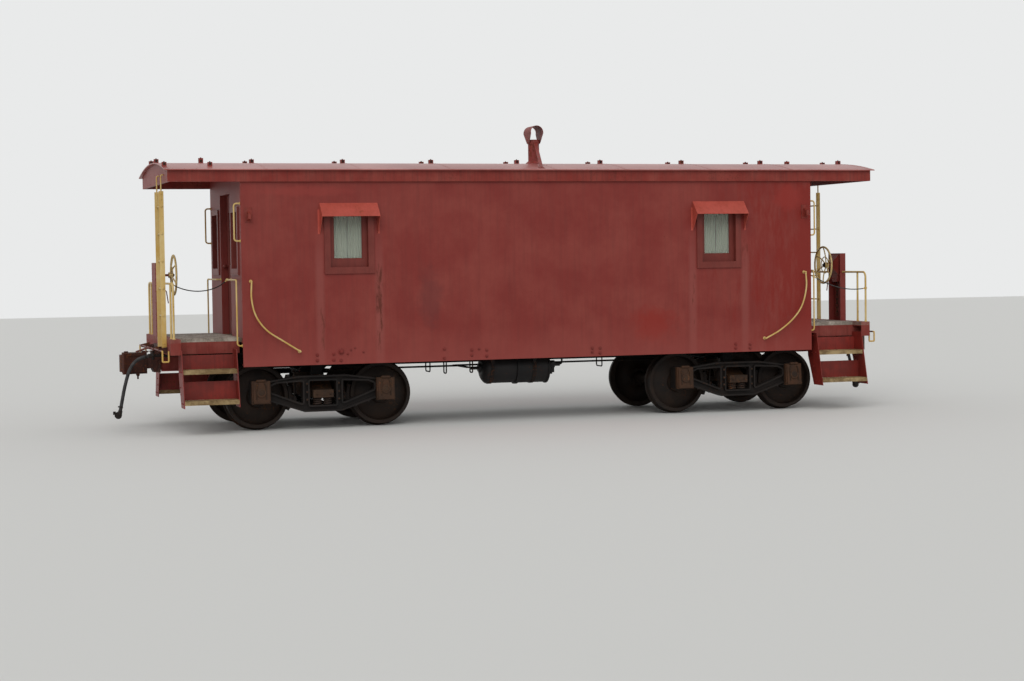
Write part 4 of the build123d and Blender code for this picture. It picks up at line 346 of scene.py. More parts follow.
def washed_cotton(name, cloth):
    """Plain woven cotton, washed thin: matt, with a faint thread."""
    material, tree, shader, place = surface(name)
    # Threads are 0.5 mm apart, too fine to show, so the weave is drawn 4 mm apart
    drawn = add(tree, "Mapping", {"Vector": place, "Scale": (1, 1, 0.25)})[0]
    thread = add(tree, "TexNoise", {"Vector": drawn, "Scale": 1 / (4 * MM), "Detail": 3})[0]
    dust = blotches(tree, place, 0.4, 0.75, {"Scale": 5, "Detail": 4}, most=0.35)
    colour = add(tree, "Mix", {0: dust, 6: shade(cloth), 7: shade("86836f")}, data_type="RGBA")[2]
    weave = add(tree, "Bump", {"Strength": 0.3, "Distance": 0.5 * MM, "Height": thread})[0]
    shader.inputs["Roughness"].default_value = 0.92
    shader.inputs["Sheen Weight"].default_value = 0.25
    tree.links.new(colour, shader.inputs["Base Color"])
    tree.links.new(weave, shader.inputs["Normal"])
    return material


def drawn_glass(name):
    """Drawn window glass with a film of dust: it shows what is behind and mirrors the sky."""
    material, tree, shader, place = surface(name)
    film = blotches(tree, place, 0.4, 0.7, {"Scale": 9, "Detail": 5}, least=0.04, most=0.2)
    shader.inputs["Base Color"].default_value = shade("aeb8b0")
    shader.inputs["Alpha"].default_value = 0.16
    shader.inputs["IOR"].default_value = 1.52
    tree.links.new(film, shader.inputs["Roughness"])
    return material


def moulded_rubber(name):
    """Wrapped rubber hose: dull black with the cloth's print and grey bloom."""
    material, tree, shader, place = surface(name)
    bloom = blotches(tree, place, 0.45, 0.7, {"Scale": 14, "Detail": 5})
    colour = add(tree, "Mix", {0: bloom, 6: shade("1b1a1b"), 7: shade("353233")}, data_type="RGBA")[2]
    # The cloth's print comes round every 47 mm along the hose
    cloth = add(tree, "TexWave", {
        "Vector": place, "Scale": 0.6283 / (47.5 * MM), "Distortion": 1.0},
        wave_type="BANDS", bands_direction="DIAGONAL")[0]
    print_marks = add(tree, "Bump", {"Strength": 0.25, "Distance": 0.5 * MM, "Height": cloth})[0]
    shader.inputs["Roughness"].default_value = 0.7
    tree.links.new(colour, shader.inputs["Base Color"])
    tree.links.new(print_marks, shader.inputs["Normal"])
    return material


def laid_rope(name):
    """Tarred wire rope: black strands, their lay drawn 63 mm long so that it shows."""
    material, tree, shader, place = surface(name)
    lay = add(tree, "TexWave", {
        "Vector": place, "Scale": 0.6283 / (63.33 * MM), "Distortion": 0.5},
        wave_type="BANDS", bands_direction="DIAGONAL")[0]
    colour = add(tree, "Mix", {0: lay, 6: shade("131314"), 7: shade("2c2b2c")}, data_type="RGBA")[2]
    strands = add(tree, "Bump", {"Strength": 0.6, "Distance": 1 * MM, "Height": lay})[0]
    shader.inputs["Roughness"].default_value = 0.55
    tree.links.new(colour, shader.inputs["Base Color"])
    tree.links.new(strands, shader.inputs["Normal"])
    return material


# Coats that start some way out from the middle of the car: axis, start and weathering.
# Red on the platform frames, brown rust on the journal boxes darkened with painted shade of the car's
# underside, and walked-off red on the end planks
FRAME_RED = (0, WALL_X - 5 * MM, "7a3029", "86423a", "4c231e", "5f3320", 0.3, 0.05, 0.5)
BOX_BROWN = (1, BOX_START, "38261a", "462d1d", "1f1713", "603c24", 0.2, 0.12, 0.5)
PLANK_RED = (0, END_PLANK_X, "7a3a33", "8d5a51", "4c2a25", "8b7768", 0.2, 0.08, 0.5)

# Finishes of the car. Hex codes or names of properties: paint, faded paint, grime and rust,
# or bare, dark and rusted iron, or early, late and worn wood
FINISHES = {
    "body_enamel": lambda: enamel(
        "brushed_oxide_red_enamel", "body", "843830", "592822", "6b2a1c",
        rusted=0.03, streak=0.35, gloss=0.54, marks=side_marks, dents=5 * MM),
    "end_enamel": lambda: enamel(
        "brushed_oxide_red_enamel_ends", "body", "7d362f", "502420", "6b2a1c",
        rusted=0.02, streak=0.45, gloss=0.52),
    "fascia_enamel": lambda: enamel(
        "grimy_oxide_red_enamel", "7b261d", "873a30", "4a2620", "5e2a1e",
        rusted=0.09, streak=0.6, gloss=0.5, faded_size=0.3),
    "roof_enamel": lambda: enamel(
        "rolled_roof_enamel", "8f3f38", "a9625b", "6b3a36", "71331f",
        rusted=0.06, streak=0.3, gloss=0.34, faded_size=0.8, dents=3 * MM, gleam=0.55),
    "hood_enamel": lambda: enamel(
        "fresh_oxide_red_enamel", "hoods", "a44638", "80332a", "7a3a22",
        rusted=0.08, streak=0.4, gloss=0.42, faded_size=0.2),
    "board_enamel": lambda: enamel(
        "brushed_enamel_on_fir", "6b2a23", "77352d", "47201c", "523025",
        rusted=0.0, streak=0.4, gloss=0.48, faded_size=0.3),
    "step_enamel": lambda: enamel(
        "kicked_oxide_red_enamel", "6e251e", "852a22", "401d19", "5f2f1e",
        rusted=0.1, streak=0.5, gloss=0.46, faded_size=0.22),
    "stack_enamel": lambda: enamel(
        "heat_dulled_red_enamel", "8d3832", "7a3a33", "4a2b27", "6a3320",
        rusted=0.14, streak=0.4, gloss=0.5, faded_size=0.12),
    "rail_enamel": lambda: enamel(
        "chipped_safety_yellow_enamel", "rails", "d0b87f", "94713c", "5f3a22",
        rusted=0.05, streak=0.25, gloss=0.38, faded_size=0.35),
    "lever_enamel": lambda: enamel(
        "oxide_red_enamel_yellow_handles", "5e2a23", "6d3a31", "3d201b", "5a3320",
        rusted=0.1, streak=0.3, gloss=0.46, faded_size=0.2,
        marks=yellow_handle),
    "worn_wheel_enamel": lambda: enamel(
        "worn_cream_enamel", "c8ab6c", "dcc793", "85623c", "54341f",
        rusted=0.16, streak=0.3, gloss=0.55, faded_size=0.1),
    # Truck frames, bolsters and journal boxes: dark grime and rust, darkened further with painted shade of
    # the car's underside
    "cast_truck": lambda: scaled_iron(
        "sand_cast_steel_grimed_with_painted_shade", "211b18", "151211", "3f291c", 0.1, marks=beyond(*BOX_BROWN)),
    "cast_box": lambda: scaled_iron(
        "sand_cast_steel_rusted_with_painted_shade", "3d2a1c", "261c16", "5f3d24", 0.15),
    "cast_coupler": lambda: scaled_iron(
        "sand_cast_steel_overpainted", "4d2a21", "2e1c18", "653a22", 0.16, 0.6),
    "forged_rod": lambda: scaled_iron(
        "forged_iron_rusted", "231b17", "171413", "4b3021", 0.14),
    # Wheels: rusted steel, darkened further with painted shade of the car's underside
    "wheel_steel": lambda: scaled_iron(
        "rolled_wheel_steel_rusted_with_painted_shade", "281c14", "18120f", "452c1b", 0.1, 0.6),
    "chain_iron": lambda: scaled_iron(
        "welded_chain_iron", "32251e", "201a17", "5a3925", 0.16),
    "bitumen": lambda: scaled_iron(
        "rolled_steel_bitumen", "1a1615", "110f0f", "35241e", 0.08, marks=beyond(*FRAME_RED)),
    "tank_enamel": lambda: enamel(
        "dipped_black_enamel", "161415", "211d1c", "100f0f", "482d20",
        rusted=0.08, streak=0.3, gloss=0.45, faded_size=0.3),
    "galvanised": lambda: scaled_iron(
        "hot_dip_galvanised_fitting", "8b8a86", "6c6a66", "7c6550", 0.04, 0.5),
    "deck_planks": lambda: timber(
        "sawn_fir_weathered_grey", "958a7e", "6d645b", "b0a598", (9, 1, 9),
        marks=beyond(*PLANK_RED)),
    "floor_boards": lambda: timber(
        "sawn_fir_floor", "6e5a48", "54453a", "7b6754", (9, 1, 9)),
    "tread_planks": lambda: timber(
        "sawn_oak_tread_worn", "87704c", "614c33", "a28c65", (1, 9, 9)),
    "cotton": lambda: washed_cotton("plain_woven_cotton", "cloth"),
    "glass": lambda: drawn_glass("drawn_window_glass"),
    "rubber": lambda: moulded_rubber("wrapped_rubber_hose"),
    "rope": lambda: laid_rope("tarred_wire_rope"),
}

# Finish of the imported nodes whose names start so: the first row that fits holds
NODE_FINISHES = {
    "underframe": "bitumen", "cabin_floor": "floor_boards", "platform_decks": "deck_planks",
    "side_walls": "body_enamel", "end_walls": "end_enamel", "window_frames": "board_enamel",
    "window_glass": "glass", "door_glass": "glass", "curtains": "cotton", "window_hoods": "hood_enamel",
    "roof_saddles": "stack_enamel", "roof": "roof_enamel", "fascia": "fascia_enamel",
    "smoke_stack": "stack_enamel", "door_hinges": "stack_enamel", "door_": "board_enamel",
    "step_treads": "tread_planks", "steps": "step_enamel", "ladders": "rail_enamel",
    "brake_posts": "end_enamel", "brake_wheels": "worn_wheel_enamel", "brake_chains": "chain_iron",
    "brake_cylinder": "tank_enamel", "brake_rigging": "forged_rod", "brake_gear": "forged_rod",
    "end_railings": "rail_enamel", "handrails": "rail_enamel", "line_eyes": "rail_enamel",
    "safety_line": "rope", "couplers": "cast_coupler", "knuckles": "cast_coupler",
    "end_castings": "cast_coupler", "uncoupling_levers": "lever_enamel", "train_pipe": "forged_rod",
    "air_hose": "rubber", "glad_hand": "forged_rod", "lamp_brackets": "fascia_enamel",
    "platform_lamps": "tank_enamel", "air_reservoir": "tank_enamel", "truck_frames": "cast_truck",
    "truck_bolster": "cast_box", "truck_springs": "chain_iron", "wheels": "wheel_steel",
    "axle": "wheel_steel",
}

# The material of each finish, kept once it is made
MADE = {}


def finish(key):
    """The material of that finish, made once."""
    if key not in MADE:
        MADE[key] = FINISHES[key]()
    return MADE[key]


def body_of(node):
    """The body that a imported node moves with."""
    return NODES[node]["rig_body"]


def place_piece(made, key, body):
    """Puts a new object in the scene with its finish and the body that it rides on."""
    bpy.context.scene.collection.objects.link(made)
    made.data.materials.append(finish(key))
    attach(made, body)
    return made


def mesh_piece(name, shape, key, body="carbody", crease=32):
    """Turns a bmesh into a piece, smooth but for edges sharper than crease degrees."""
    bmesh.ops.recalc_face_normals(shape, faces=shape.faces)
    for face in shape.faces:
        face.smooth = True
    for edge in shape.edges:
        edge.smooth = len(edge.link_faces) == 2 and edge.calc_face_angle(0) < radians(crease)
    mesh = bpy.data.meshes.new(name)
    shape.to_mesh(mesh)
    shape.free()
    return place_piece(bpy.data.objects.new(name, mesh), key, body)


def facing(at, normal, spin=0.0):
    """Matrix with its origin at a point and its Z axis along a direction."""
    turn = Vector(normal).to_track_quat("Z", "Y").to_matrix().to_4x4()
    return Matrix.Translation(at) @ turn @ Matrix.Rotation(spin, 4, "Z")


def upright(at, out):
    """Matrix with its origin at a point, its Y axis up and its Z axis along a level direction."""
    along = Vector((0, 0, 1)).cross(out)
    return Matrix.Translation(at) @ Matrix((along, (0, 0, 1), out)).transposed().to_4x4()


def round_about(place, radius, count, start=0.0):
    """Points evenly spaced on a circle about the Z axis of place."""
    turns = [2 * pi * number / count + start for number in range(count)]
    return [place @ Vector((radius * cos(turn), radius * sin(turn), 0)) for turn in turns]


def bridge(shape, rows, closed=True):
    """Adds the faces between each row of vertices and the next. A row of one vertex is a tip."""
    for low, high in zip(rows, rows[1:]):
        count = max(len(low), len(high))
        for number in range(count if closed else count - 1):
            after = (number + 1) % count
            corners = dict.fromkeys((
                low[number % len(low)], low[after % len(low)],
                high[after % len(high)], high[number % len(high)]))
            if len(corners) > 2:
                shape.faces.new(list(corners))


def circle(shape, radius, segments, point):
    """A ring of vertices, each where point gives it for its two distances from the middle."""
    return [
        shape.verts.new(point(radius * cos(turn), radius * sin(turn)))
        for turn in (2 * pi * number / segments for number in range(segments))
    ]


def rectangles(shape, place, half_x, half_y, profile):
    """Rings of four corners on place, one for each pair of inset and height of the profile."""
    return [
        [
            shape.verts.new(place @ Vector((sx * (half_x - inset), sy * (half_y - inset), height)))
            for sx, sy in ((-1, -1), (1, -1), (1, 1), (-1, 1))
        ]
        for inset, height in profile
    ]


def spun(shape, place, profile, segments):
    """Adds a turned form: the profile's radius and height pairs, spun about the Z axis of place."""
    bridge(shape, [
        circle(shape, radius, segments if radius else 1, lambda x, y: place @ Vector((x, y, height)))
        for radius, height in profile
    ])


def bolt(shape, at, normal, radius, spin=0.3, washer=True):
    """Adds a hexagon head on its washer, with chamfered corners and a stub of thread."""
    place = facing(at, normal, spin)
    under = 0.22 * radius if washer else 0
    top = under + 0.8 * radius
    if washer:
        spun(shape, place, [
            (1.45 * radius, 0), (1.45 * radius, 0.8 * under), (1.3 * radius, under), (0, under)], 14)
    spun(shape, place, [(radius, under), (radius, under + 0.62 * radius), (0.84 * radius, top), (0, top)], 6)
    spun(shape, place, [
        (0.45 * radius, top), (0.45 * radius, under + 1.1 * radius), (0, under + 1.15 * radius)], 8)


def rivet(shape, at, normal, radius):
    """Adds a round rivet head."""
    spun(shape, facing(at, normal), [
        (radius, 0), (0.93 * radius, 0.3 * radius), (0.6 * radius, 0.58 * radius), (0, 0.68 * radius)], 10)


def tube(shape, points, radius, segments=8):
    """Adds a round bar along points, its ring carried from one point to the next without twist."""
    points = [Vector(point) for point in points]
    side = (points[1] - points[0]).normalized().orthogonal().normalized()
    rings = []
    for before, point, after in zip([points[0], *points], points, [*points[1:], points[-1]]):
        way = (after - before).normalized()
        side = (side - way * side.dot(way)).normalized()
        up = way.cross(side)
        rings.append(circle(shape, radius, segments, lambda x, y: point + x * side + y * up))
    bridge(shape, rings)
    shape.faces.new(rings[0])
    shape.faces.new(rings[-1])


def bent(points, bend, steps=6):
    """The route with an arc of that radius at each corner."""
    points = [Vector(point) for point in points]
    route = [points[0]]
    for before, corner, after in zip(points, points[1:], points[2:]):
        into, away = (corner - before).normalized(), (after - corner).normalized()
        turn = into.angle(away)
        start = corner - bend * tan(turn / 2) * into
        centre = corner + bend / cos(turn / 2) * (away - into).normalized()
        axis = into.cross(away)
        for step in range(steps + 1):
            route.append(centre + Matrix.Rotation(turn * step / steps, 3, axis) @ (start - centre))
    return [*route, points[-1]]


def flowing(points, steps=6):
    """A smooth route through all the points."""
    points = [Vector(point) for point in points]
    ends = [2 * points[0] - points[1], *points, 2 * points[-1] - points[-2]]
    route = []
    for a, b, c, d in zip(ends, ends[1:], ends[2:], ends[3:]):
        for step in range(steps):
            t = step / steps
            route.append(0.5 * (
                2 * b + (c - a) * t + (2 * a - 5 * b + 4 * c - d) * t ** 2
                + (3 * b - a - 3 * c + d) * t ** 3))
    return [*route, points[-1]]


def plate(shape, place, length, width, thickness):
    """Adds a plate that lies on the XY plane of place, its upper edges eased by a quarter."""
    edge = 0.25 * thickness
    rings = rectangles(
        shape, place, length / 2, width / 2, [(0, 0), (0, thickness - edge), (edge, thickness)])
    bridge(shape, rings)
    shape.faces.new(rings[0])
    shape.faces.new(rings[-1])


def again(shape, matrix):
    """Adds to a bmesh its own copy, turned or mirrored about the car's middle by the matrix."""
    made = bmesh.ops.duplicate(shape, geom=shape.verts[:] + shape.edges[:] + shape.faces[:])
    copies = [item for item in made["geom"] if isinstance(item, bmesh.types.BMVert)]
    bmesh.ops.transform(shape, matrix=matrix, verts=copies)


def roof_height(y):
    """Height of the roof sheet at y."""
    return RIDGE - ROOF_RADIUS + sqrt(ROOF_RADIUS ** 2 - y ** 2)


def on_roof(x, turn, lift=0.0):
    """Point over the roof sheet at x, turned that far from upright about the roof's axis."""
    reach = ROOF_RADIUS + lift
    return (x, reach * sin(turn), RIDGE - ROOF_RADIUS + reach * cos(turn))


class CABOOSE_OT_stage(bpy.types.Operator):
    """Sets up the floor, the light and the camera"""
    bl_idname = "caboose.stage"
    bl_label = "Stage"

    def execute(self, context):
        values = context.scene.caboose_stage
        shape = bmesh.new()
        bmesh.ops.create_grid(shape, x_segments=1, y_segments=1, size=60)
        mesh = bpy.data.meshes.new("floor")
        shape.to_mesh(mesh)
        shape.free()
        floor = bpy.data.objects.new("floor", mesh)
        context.scene.collection.objects.link(floor)
        # Matt paper: the camera sees it pale, and it keeps the car's shadow
        material, _, shader, _ = surface("matt_paper_floor")
        shader.inputs["Base Color"].default_value = (*values.floor, 1.0)
        shader.inputs["Roughness"].default_value = 0.9
        mesh.materials.append(material)
        world = bpy.data.worlds.new("studio")
        context.scene.world = world
        world.use_nodes = True
        tree = world.node_tree
        sky = tree.nodes["Background"]
        sky.inputs["Color"].default_value = shade("f4f6f8")
        sky.inputs["Strength"].default_value = values.sky
        # The camera and the gloss on the car see the backdrop as pale paper
        paper = add(tree, "Background", {"Color": shade("e9eaea"), "Strength": 1.0})
        paths = add(tree, "LightPath")
        seen = add(tree, "Math", {
            0: paths["Is Camera Ray"], 1: paths["Is Glossy Ray"]}, operation="MAXIMUM")[0]
        seen = add(tree, "Math", {0: seen, 1: paths["Is Transmission Ray"]}, operation="MAXIMUM")[0]
        both = add(tree, "MixShader", {0: seen, 1: sky.outputs[0], 2: paper[0]})
        tree.links.new(both[0], tree.nodes["World Output"].inputs["Surface"])
        # One soft lamp high over the near side
        lamp = bpy.data.lights.new("key", "SUN")
        lamp.energy = values.key
        lamp.angle = radians(50)
        lamp_object = bpy.data.objects.new("key", lamp)
        lamp_object.matrix_world = facing((-6, -12, 10), (-0.30, -0.72, 0.62))
        context.scene.collection.objects.link(lamp_object)
        # The photographer stood 26 m off at eye height, a little west of the middle
        camera = bpy.data.cameras.new("camera")
        camera.sensor_width = 36
        camera.lens = 67.54
        camera.clip_end = 500
        yaw, pitch, roll = radians(17.976), radians(-2.377), radians(-0.823)
        ahead = Vector((sin(yaw) * cos(pitch), cos(yaw) * cos(pitch), sin(pitch)))
        level = Vector((cos(yaw), -sin(yaw), 0))
        upright = level.cross(ahead)
        right = cos(roll) * level + sin(roll) * upright
        up = cos(roll) * upright - sin(roll) * level
        turn = Matrix((right, up, -ahead)).transposed().to_4x4()
        eye = bpy.data.objects.new("camera", camera)
        eye.matrix_world = Matrix.Translation((-8.443, -25.95, 2.194)) @ turn
        context.scene.collection.objects.link(eye)
        context.scene.camera = eye
        context.scene.view_settings.view_transform = "Standard"
        return {"FINISHED"}


class CABOOSE_OT_paint(bpy.types.Operator):
    """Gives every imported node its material"""
    bl_idname = "caboose.paint"
    bl_label = "Paint"

    def execute(self, context):
        for name, node in NODES.items():
            key = next(key for start, key in NODE_FINISHES.items() if name.startswith(start))
            node.data.materials.clear()
            node.data.materials.append(finish(key))
        return {"FINISHED"}


def line_curve(name, points, width, key, body):
    """A smooth cord of that width whose NURBS line is steered by the points."""
    curve = bpy.data.curves.new(name, "CURVE")
    curve.dimensions = "3D"
    curve.resolution_u = 14
    curve.bevel_depth = width / 2
    curve.bevel_resolution = 4
    curve.use_fill_caps = True
    spline = curve.splines.new("NURBS")
    spline.points.add(len(points) - 1)
    for control, point in zip(spline.points, points):
        control.co = (*point, 1)
    spline.order_u = 3
    spline.use_endpoint_u = True
    return place_piece(bpy.data.objects.new(name, curve), key, body)


# Routes of the cords in metres, from the piece that each leaves to the one it ends in
WEST_LINE = (
    (-4.9291, -1.0620, 1.9379), (-4.895, -1.045, 1.917), (-4.778, -0.942, 1.878), (-4.650, -0.829, 1.856),
    (-4.521, -0.715, 1.853), (-4.395, -0.603, 1.869), (-4.288, -0.530, 1.900), (-4.212, -0.489, 1.943),
    (-4.1775, -0.4767, 1.9697),
)
EAST_LINE = (
    (4.9197, -1.1734, 1.7216), (4.880, -1.172, 1.716), (4.740, -1.169, 1.713), (4.600, -1.166, 1.731),
    (4.460, -1.165, 1.766), (4.330, -1.164, 1.815), (4.230, -1.163, 1.864), (4.1832, -1.1641, 1.8877),
)
WEST_HOSE = (
    (-5.190, -0.33, 1.006), (-5.298, -0.33, 0.982), (-5.386, -0.33, 0.914), (-5.449, -0.33, 0.806),
    (-5.499, -0.33, 0.633), (-5.537, -0.33, 0.457), (-5.568, -0.33, 0.295),
)
EAST_HOSE = tuple((-x, -y, z) for x, y, z in WEST_HOSE)


def hose_clamps(name, route):
    """Strap clamps with their ears and bolts near both ends of a hose."""
    shape = bmesh.new()
    for start, after, share in ((route[0], route[1], 0.32), (route[-1], route[-2], 0.28)):
        start, after = Vector(start), Vector(after)
        place = facing(start + share * (after - start), (after - start).normalized())
        spun(shape, place, [
            (23.2 * MM, -10 * MM), (26 * MM, -10 * MM), (26.4 * MM, 0), (26 * MM, 10 * MM),
            (23.2 * MM, 10 * MM)], 20)
        ear = place @ Matrix.Translation((0, 31 * MM, 0)) @ Matrix.Rotation(pi / 2, 4, "Y")
        for height in (-6, 3):
            plate(shape, ear @ Matrix.Translation((0, 0, height * MM)), 18 * MM, 16 * MM, 4 * MM)
        bolt(shape, ear @ Vector((0, 0, 7 * MM)), ear.to_3x3() @ Vector((0, 0, 1)), 6 * MM, washer=False)
    return mesh_piece(name, shape, "forged_rod")


class CABOOSE_OT_cords(bpy.types.Operator):
    """Hangs the safety lines and the air hoses"""
    bl_idname = "caboose.cords"
    bl_label = "Lines and Hoses"

    def execute(self, context):
        sizes = context.scene.caboose_sizes
        for name, route, length in (
            ("safety_line_west", WEST_LINE, 0.99), ("safety_line_east", EAST_LINE, 0.768),
        ):
            line = line_curve(name + "_rope", route, sizes.line_width, "rope", body_of(name))
            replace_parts(line, name)
        for end, route in (("west", WEST_HOSE), ("east", EAST_HOSE)):
            name = f"air_hose_{end}"
            hose = line_curve(name + "_rubber", route, sizes.hose_width, "rubber", body_of(name))
            clamps = hose_clamps(f"hose_clamps_{end}", route)
            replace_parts(hose, name)
        return {"FINISHED"}


class CABOOSE_OT_curtains(bpy.types.Operator):
    """Hangs two gathered curtains and their rod behind each side window"""
    bl_idname = "caboose.curtains"
    bl_label = "Curtains"

    def execute(self, context):
        low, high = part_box("curtains")
        top, drop = high.z - 12 * MM, high.z - low.z - 20 * MM
        middle_y, half_rod = WALL_Y - 102 * MM, 0.27
        first = None
        for side, side_name in ((-1, "near"), (1, "far")):
            for window, window_name in ((-WINDOW_X, "west"), (WINDOW_X, "east")):
                which = f"{side_name}_{window_name}"
                rods = bmesh.new()
                rod_ends = [
                    Vector((window + end * half_rod, side * middle_y, top + 4 * MM)) for end in (-1, 1)]
                tube(rods, rod_ends, 3.5 * MM)
                for end, at in zip((-1, 1), rod_ends):
                    spun(rods, facing(at, (end, 0, 0)), [
                        (3.5 * MM, -2 * MM), (6 * MM, 0), (5 * MM, 5 * MM), (0, 7 * MM)], 10)
                mesh_piece(f"curtain_rod_{which}", rods, "galvanised")
                for half, half_name in ((-1, "left"), (1, "right")):
                    seed = 1.7 * side + 2.3 * half + 0.9 * window
                    piece, area = self.panel(
                        f"curtain_{which}_{half_name}", window, half, side, middle_y, top, drop, seed)
                    first = first or piece
        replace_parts(first, "curtains")
        return {"FINISHED"}

    def panel(self, name, window, half, side, middle_y, top, drop, seed):
        """One panel and its area. It has tight pleats above and looser folds below."""
        width = 0.262
        folds = round(width / bpy.context.scene.caboose_sizes.pleat)
        across, down = 9 * folds, 26
        shape = bmesh.new()
        rows = []
        for row in range(down + 1):
            fall = row / down
            rows.append([])
            for column in range(across + 1):
                share = column / across
                wander = 0.9 * fall * sin(5 * share + seed) + 0.5 * fall * sin(11 * share - 2 * seed)
                deep = (8.0 + 3.5 * fall) * MM * (0.75 + 0.25 * sin(7 * share + 3 * seed))
                wave = sin(2 * pi * folds * share + wander)
                wave += 0.25 * sin(4 * pi * folds * share + seed + fall)
                x = window + half * width * (1 - share * (0.993 - 0.01 * fall))
                x += 4 * MM * sin(6 * fall + 9 * share + seed)
                z = top - drop * fall + 2 * MM * sin(9 * share + seed) * fall
                rows[-1].append(shape.verts.new((x, side * (middle_y + deep * wave), z)))
        bridge(shape, rows, closed=False)
        area = sum(face.calc_area() for face in shape.faces)
        return mesh_piece(name, shape, "cotton", crease=180), area


def frame_ring(shape, place, half_x, half_y, profile):
    """Adds a mitred moulding round a rectangle: the profile's inset and height pairs on place."""
    rings = rectangles(shape, place, half_x, half_y, profile)
    bridge(shape, [*rings, rings[0]])


class CABOOSE_OT_windows(bpy.types.Operator):
    """Adds putty, nails and hood fastenings to the windows"""
    bl_idname = "caboose.windows"
    bl_label = "Window Trim"

    def execute(self, context):
        putty, screws, hood_parts = bmesh.new(), bmesh.new(), bmesh.new()
        # Centre on the wall, direction out, half widths of the glass and of the casing
        windows = [((x, -WALL_Y, 0), (0, -1, 0), 0.195, 0.335) for x in (-WINDOW_X, WINDOW_X)]
        windows += [((-WALL_X, y, 0), (-1, 0, 0), 0.150, 0.280) for y in (-0.77, 0.77)]
        for at, out, half_glass, half_casing in windows:
            at, out = Vector(at), Vector(out)
            glass = upright(at - 72.7 * MM * out + Vector((0, 0, 2.535)), out)
            frame_ring(putty, glass, half_glass + 0.5 * MM, 0.2855, [
                (0, 0.3 * MM), (10 * MM, 0.3 * MM), (1 * MM, 9 * MM)])
            # Nails along the uprights of the casing and along its foot
            casing = upright(at + 20.3 * MM * out, out)
            for height in (2.09, 2.32, 2.56, 2.80):
                for across in (22 * MM - half_casing, half_casing - 22 * MM):
                    rivet(screws, casing @ Vector((across, height, -0.5 * MM)), out, 4.5 * MM)
            for share in (-0.75, -0.25, 0.25, 0.75):
                rivet(screws, casing @ Vector((share * half_casing, 2.075, -0.5 * MM)), out, 4.5 * MM)
        # Screws of the hood's upper edge, the lap in its sheet and the tabs of its wings
        fall, reach = 0.173, 0.165
        slope = atan2(fall, reach)
        up = (0, -sin(slope), cos(slope))
        for x in (-WINDOW_X, WINDOW_X):
            for number in range(7):
                at = (x - 0.36 + 0.12 * number, -WALL_Y - 0.018, 2.985 - 0.018 * fall / reach)
                rivet(hood_parts, at, up, 6 * MM)
            lap = facing((x + 0.012, -WALL_Y - 0.084, 2.8985 + 0.3 * MM), up)
            plate(hood_parts, lap, 26 * MM, 0.222, 1.5 * MM)
            for tab_x in (x - 0.404, x + 0.404):
                for height in (2.62, 2.74, 2.88):
                    rivet(hood_parts, (tab_x, -WALL_Y - 0.5 * MM, height), (0, -1, 0), 6 * MM)
                tab = facing((tab_x, -WALL_Y - 0.2 * MM, 2.74), (0, -1, 0))
                plate(hood_parts, tab, 26 * MM, 0.32, 1.6 * MM)
        for shape in (putty, screws, hood_parts):
            again(shape, HALF_TURN)
        mesh_piece("window_putty", putty, "board_enamel")
        mesh_piece("casing_nails", screws, "board_enamel")
        mesh_piece("hood_fastenings", hood_parts, "hood_enamel")
        return {"FINISHED"}


# Bolts through the foot of the side sheet on the near side: x, z and size over the usual one
SHEET_BOLTS = (
    (-3.104, 0.995, 1.0), (-3.106, 0.923, 1.0), (-2.885, 1.002, 1.0), (-2.886, 0.923, 1.0),
    (-2.786, 1.032, 1.8), (-2.788, 0.915, 1.0), (-2.696, 0.997, 0.7), (-2.651, 1.048, 0.7),
    (-2.596, 1.073, 0.7), (-2.482, 1.017, 0.7), (-1.371, 1.026, 1.0), (-1.374, 0.905, 1.0),
    (-0.988, 1.002, 1.0), (-0.989, 0.934, 1.0), (-0.885, 1.012, 0.8), (-0.777, 0.996, 1.0),
    (-0.778, 0.915, 1.0), (0.742, 0.981, 1.0), (0.741, 0.926, 1.0), (0.855, 0.978, 1.0),
    (0.854, 0.909, 1.0), (2.895, 0.977, 1.0), (2.894, 0.921, 1.0), (3.116, 0.971, 1.0),
    (3.115, 0.915, 1.0),
)


class CABOOSE_OT_side_bolts(bpy.types.Operator):
    """Adds the bolts and rivets of the steel sides and ends and of the lamp brackets"""
    bl_idname = "caboose.side_bolts"
    bl_label = "Side Bolts"

    def execute(self, context):
        sizes = context.scene.caboose_sizes
        shape = bmesh.new()
        for number, (x, z, scale) in enumerate(SHEET_BOLTS):
            bolt(shape, (x, -WALL_Y, z), (0, -1, 0), scale * sizes.bolt, spin=0.7 * number)
        # Small rivets up the corners of the sides and ends
        for end in (-1, 1):
            for number in range(15):
                at = (end * (WALL_X - 0.03), -WALL_Y, 1.0 + 0.15 * number)
                rivet(shape, at, (0, -1, 0), 0.55 * sizes.rivet)
            for number in range(14):
                rivet(shape, (-WALL_X, end * 1.18, 1.27 + 0.15 * number), (-1, 0, 0), 0.6 * sizes.rivet)
        # Bolts of the lamp brackets
        for x in (-3.98, 3.98):
            for edge_x in (-35, 35):
                for edge_z in (-80, 80):
                    at = (x + edge_x * MM, -WALL_Y - 6.3 * MM, 2.835 + edge_z * MM)
                    bolt(shape, at, (0, -1, 0), 7 * MM, washer=False)
        again(shape, HALF_TURN)
        mesh_piece("side_fastenings", shape, "end_enamel")
        return {"FINISHED"}


# Saddles of the running board at the west end and the middle: x, y, height of the top over the roof
SADDLES = (
    *((x, y, 50) for x in (-1.25, -2.5, -3.75, -5.02) for y in (-0.25, 0.25)),
    (0, -0.25, 50), (-5.02, -1.0, 50), (-4.43, -0.25, 66), (-4.43, -1.0, 50),
)


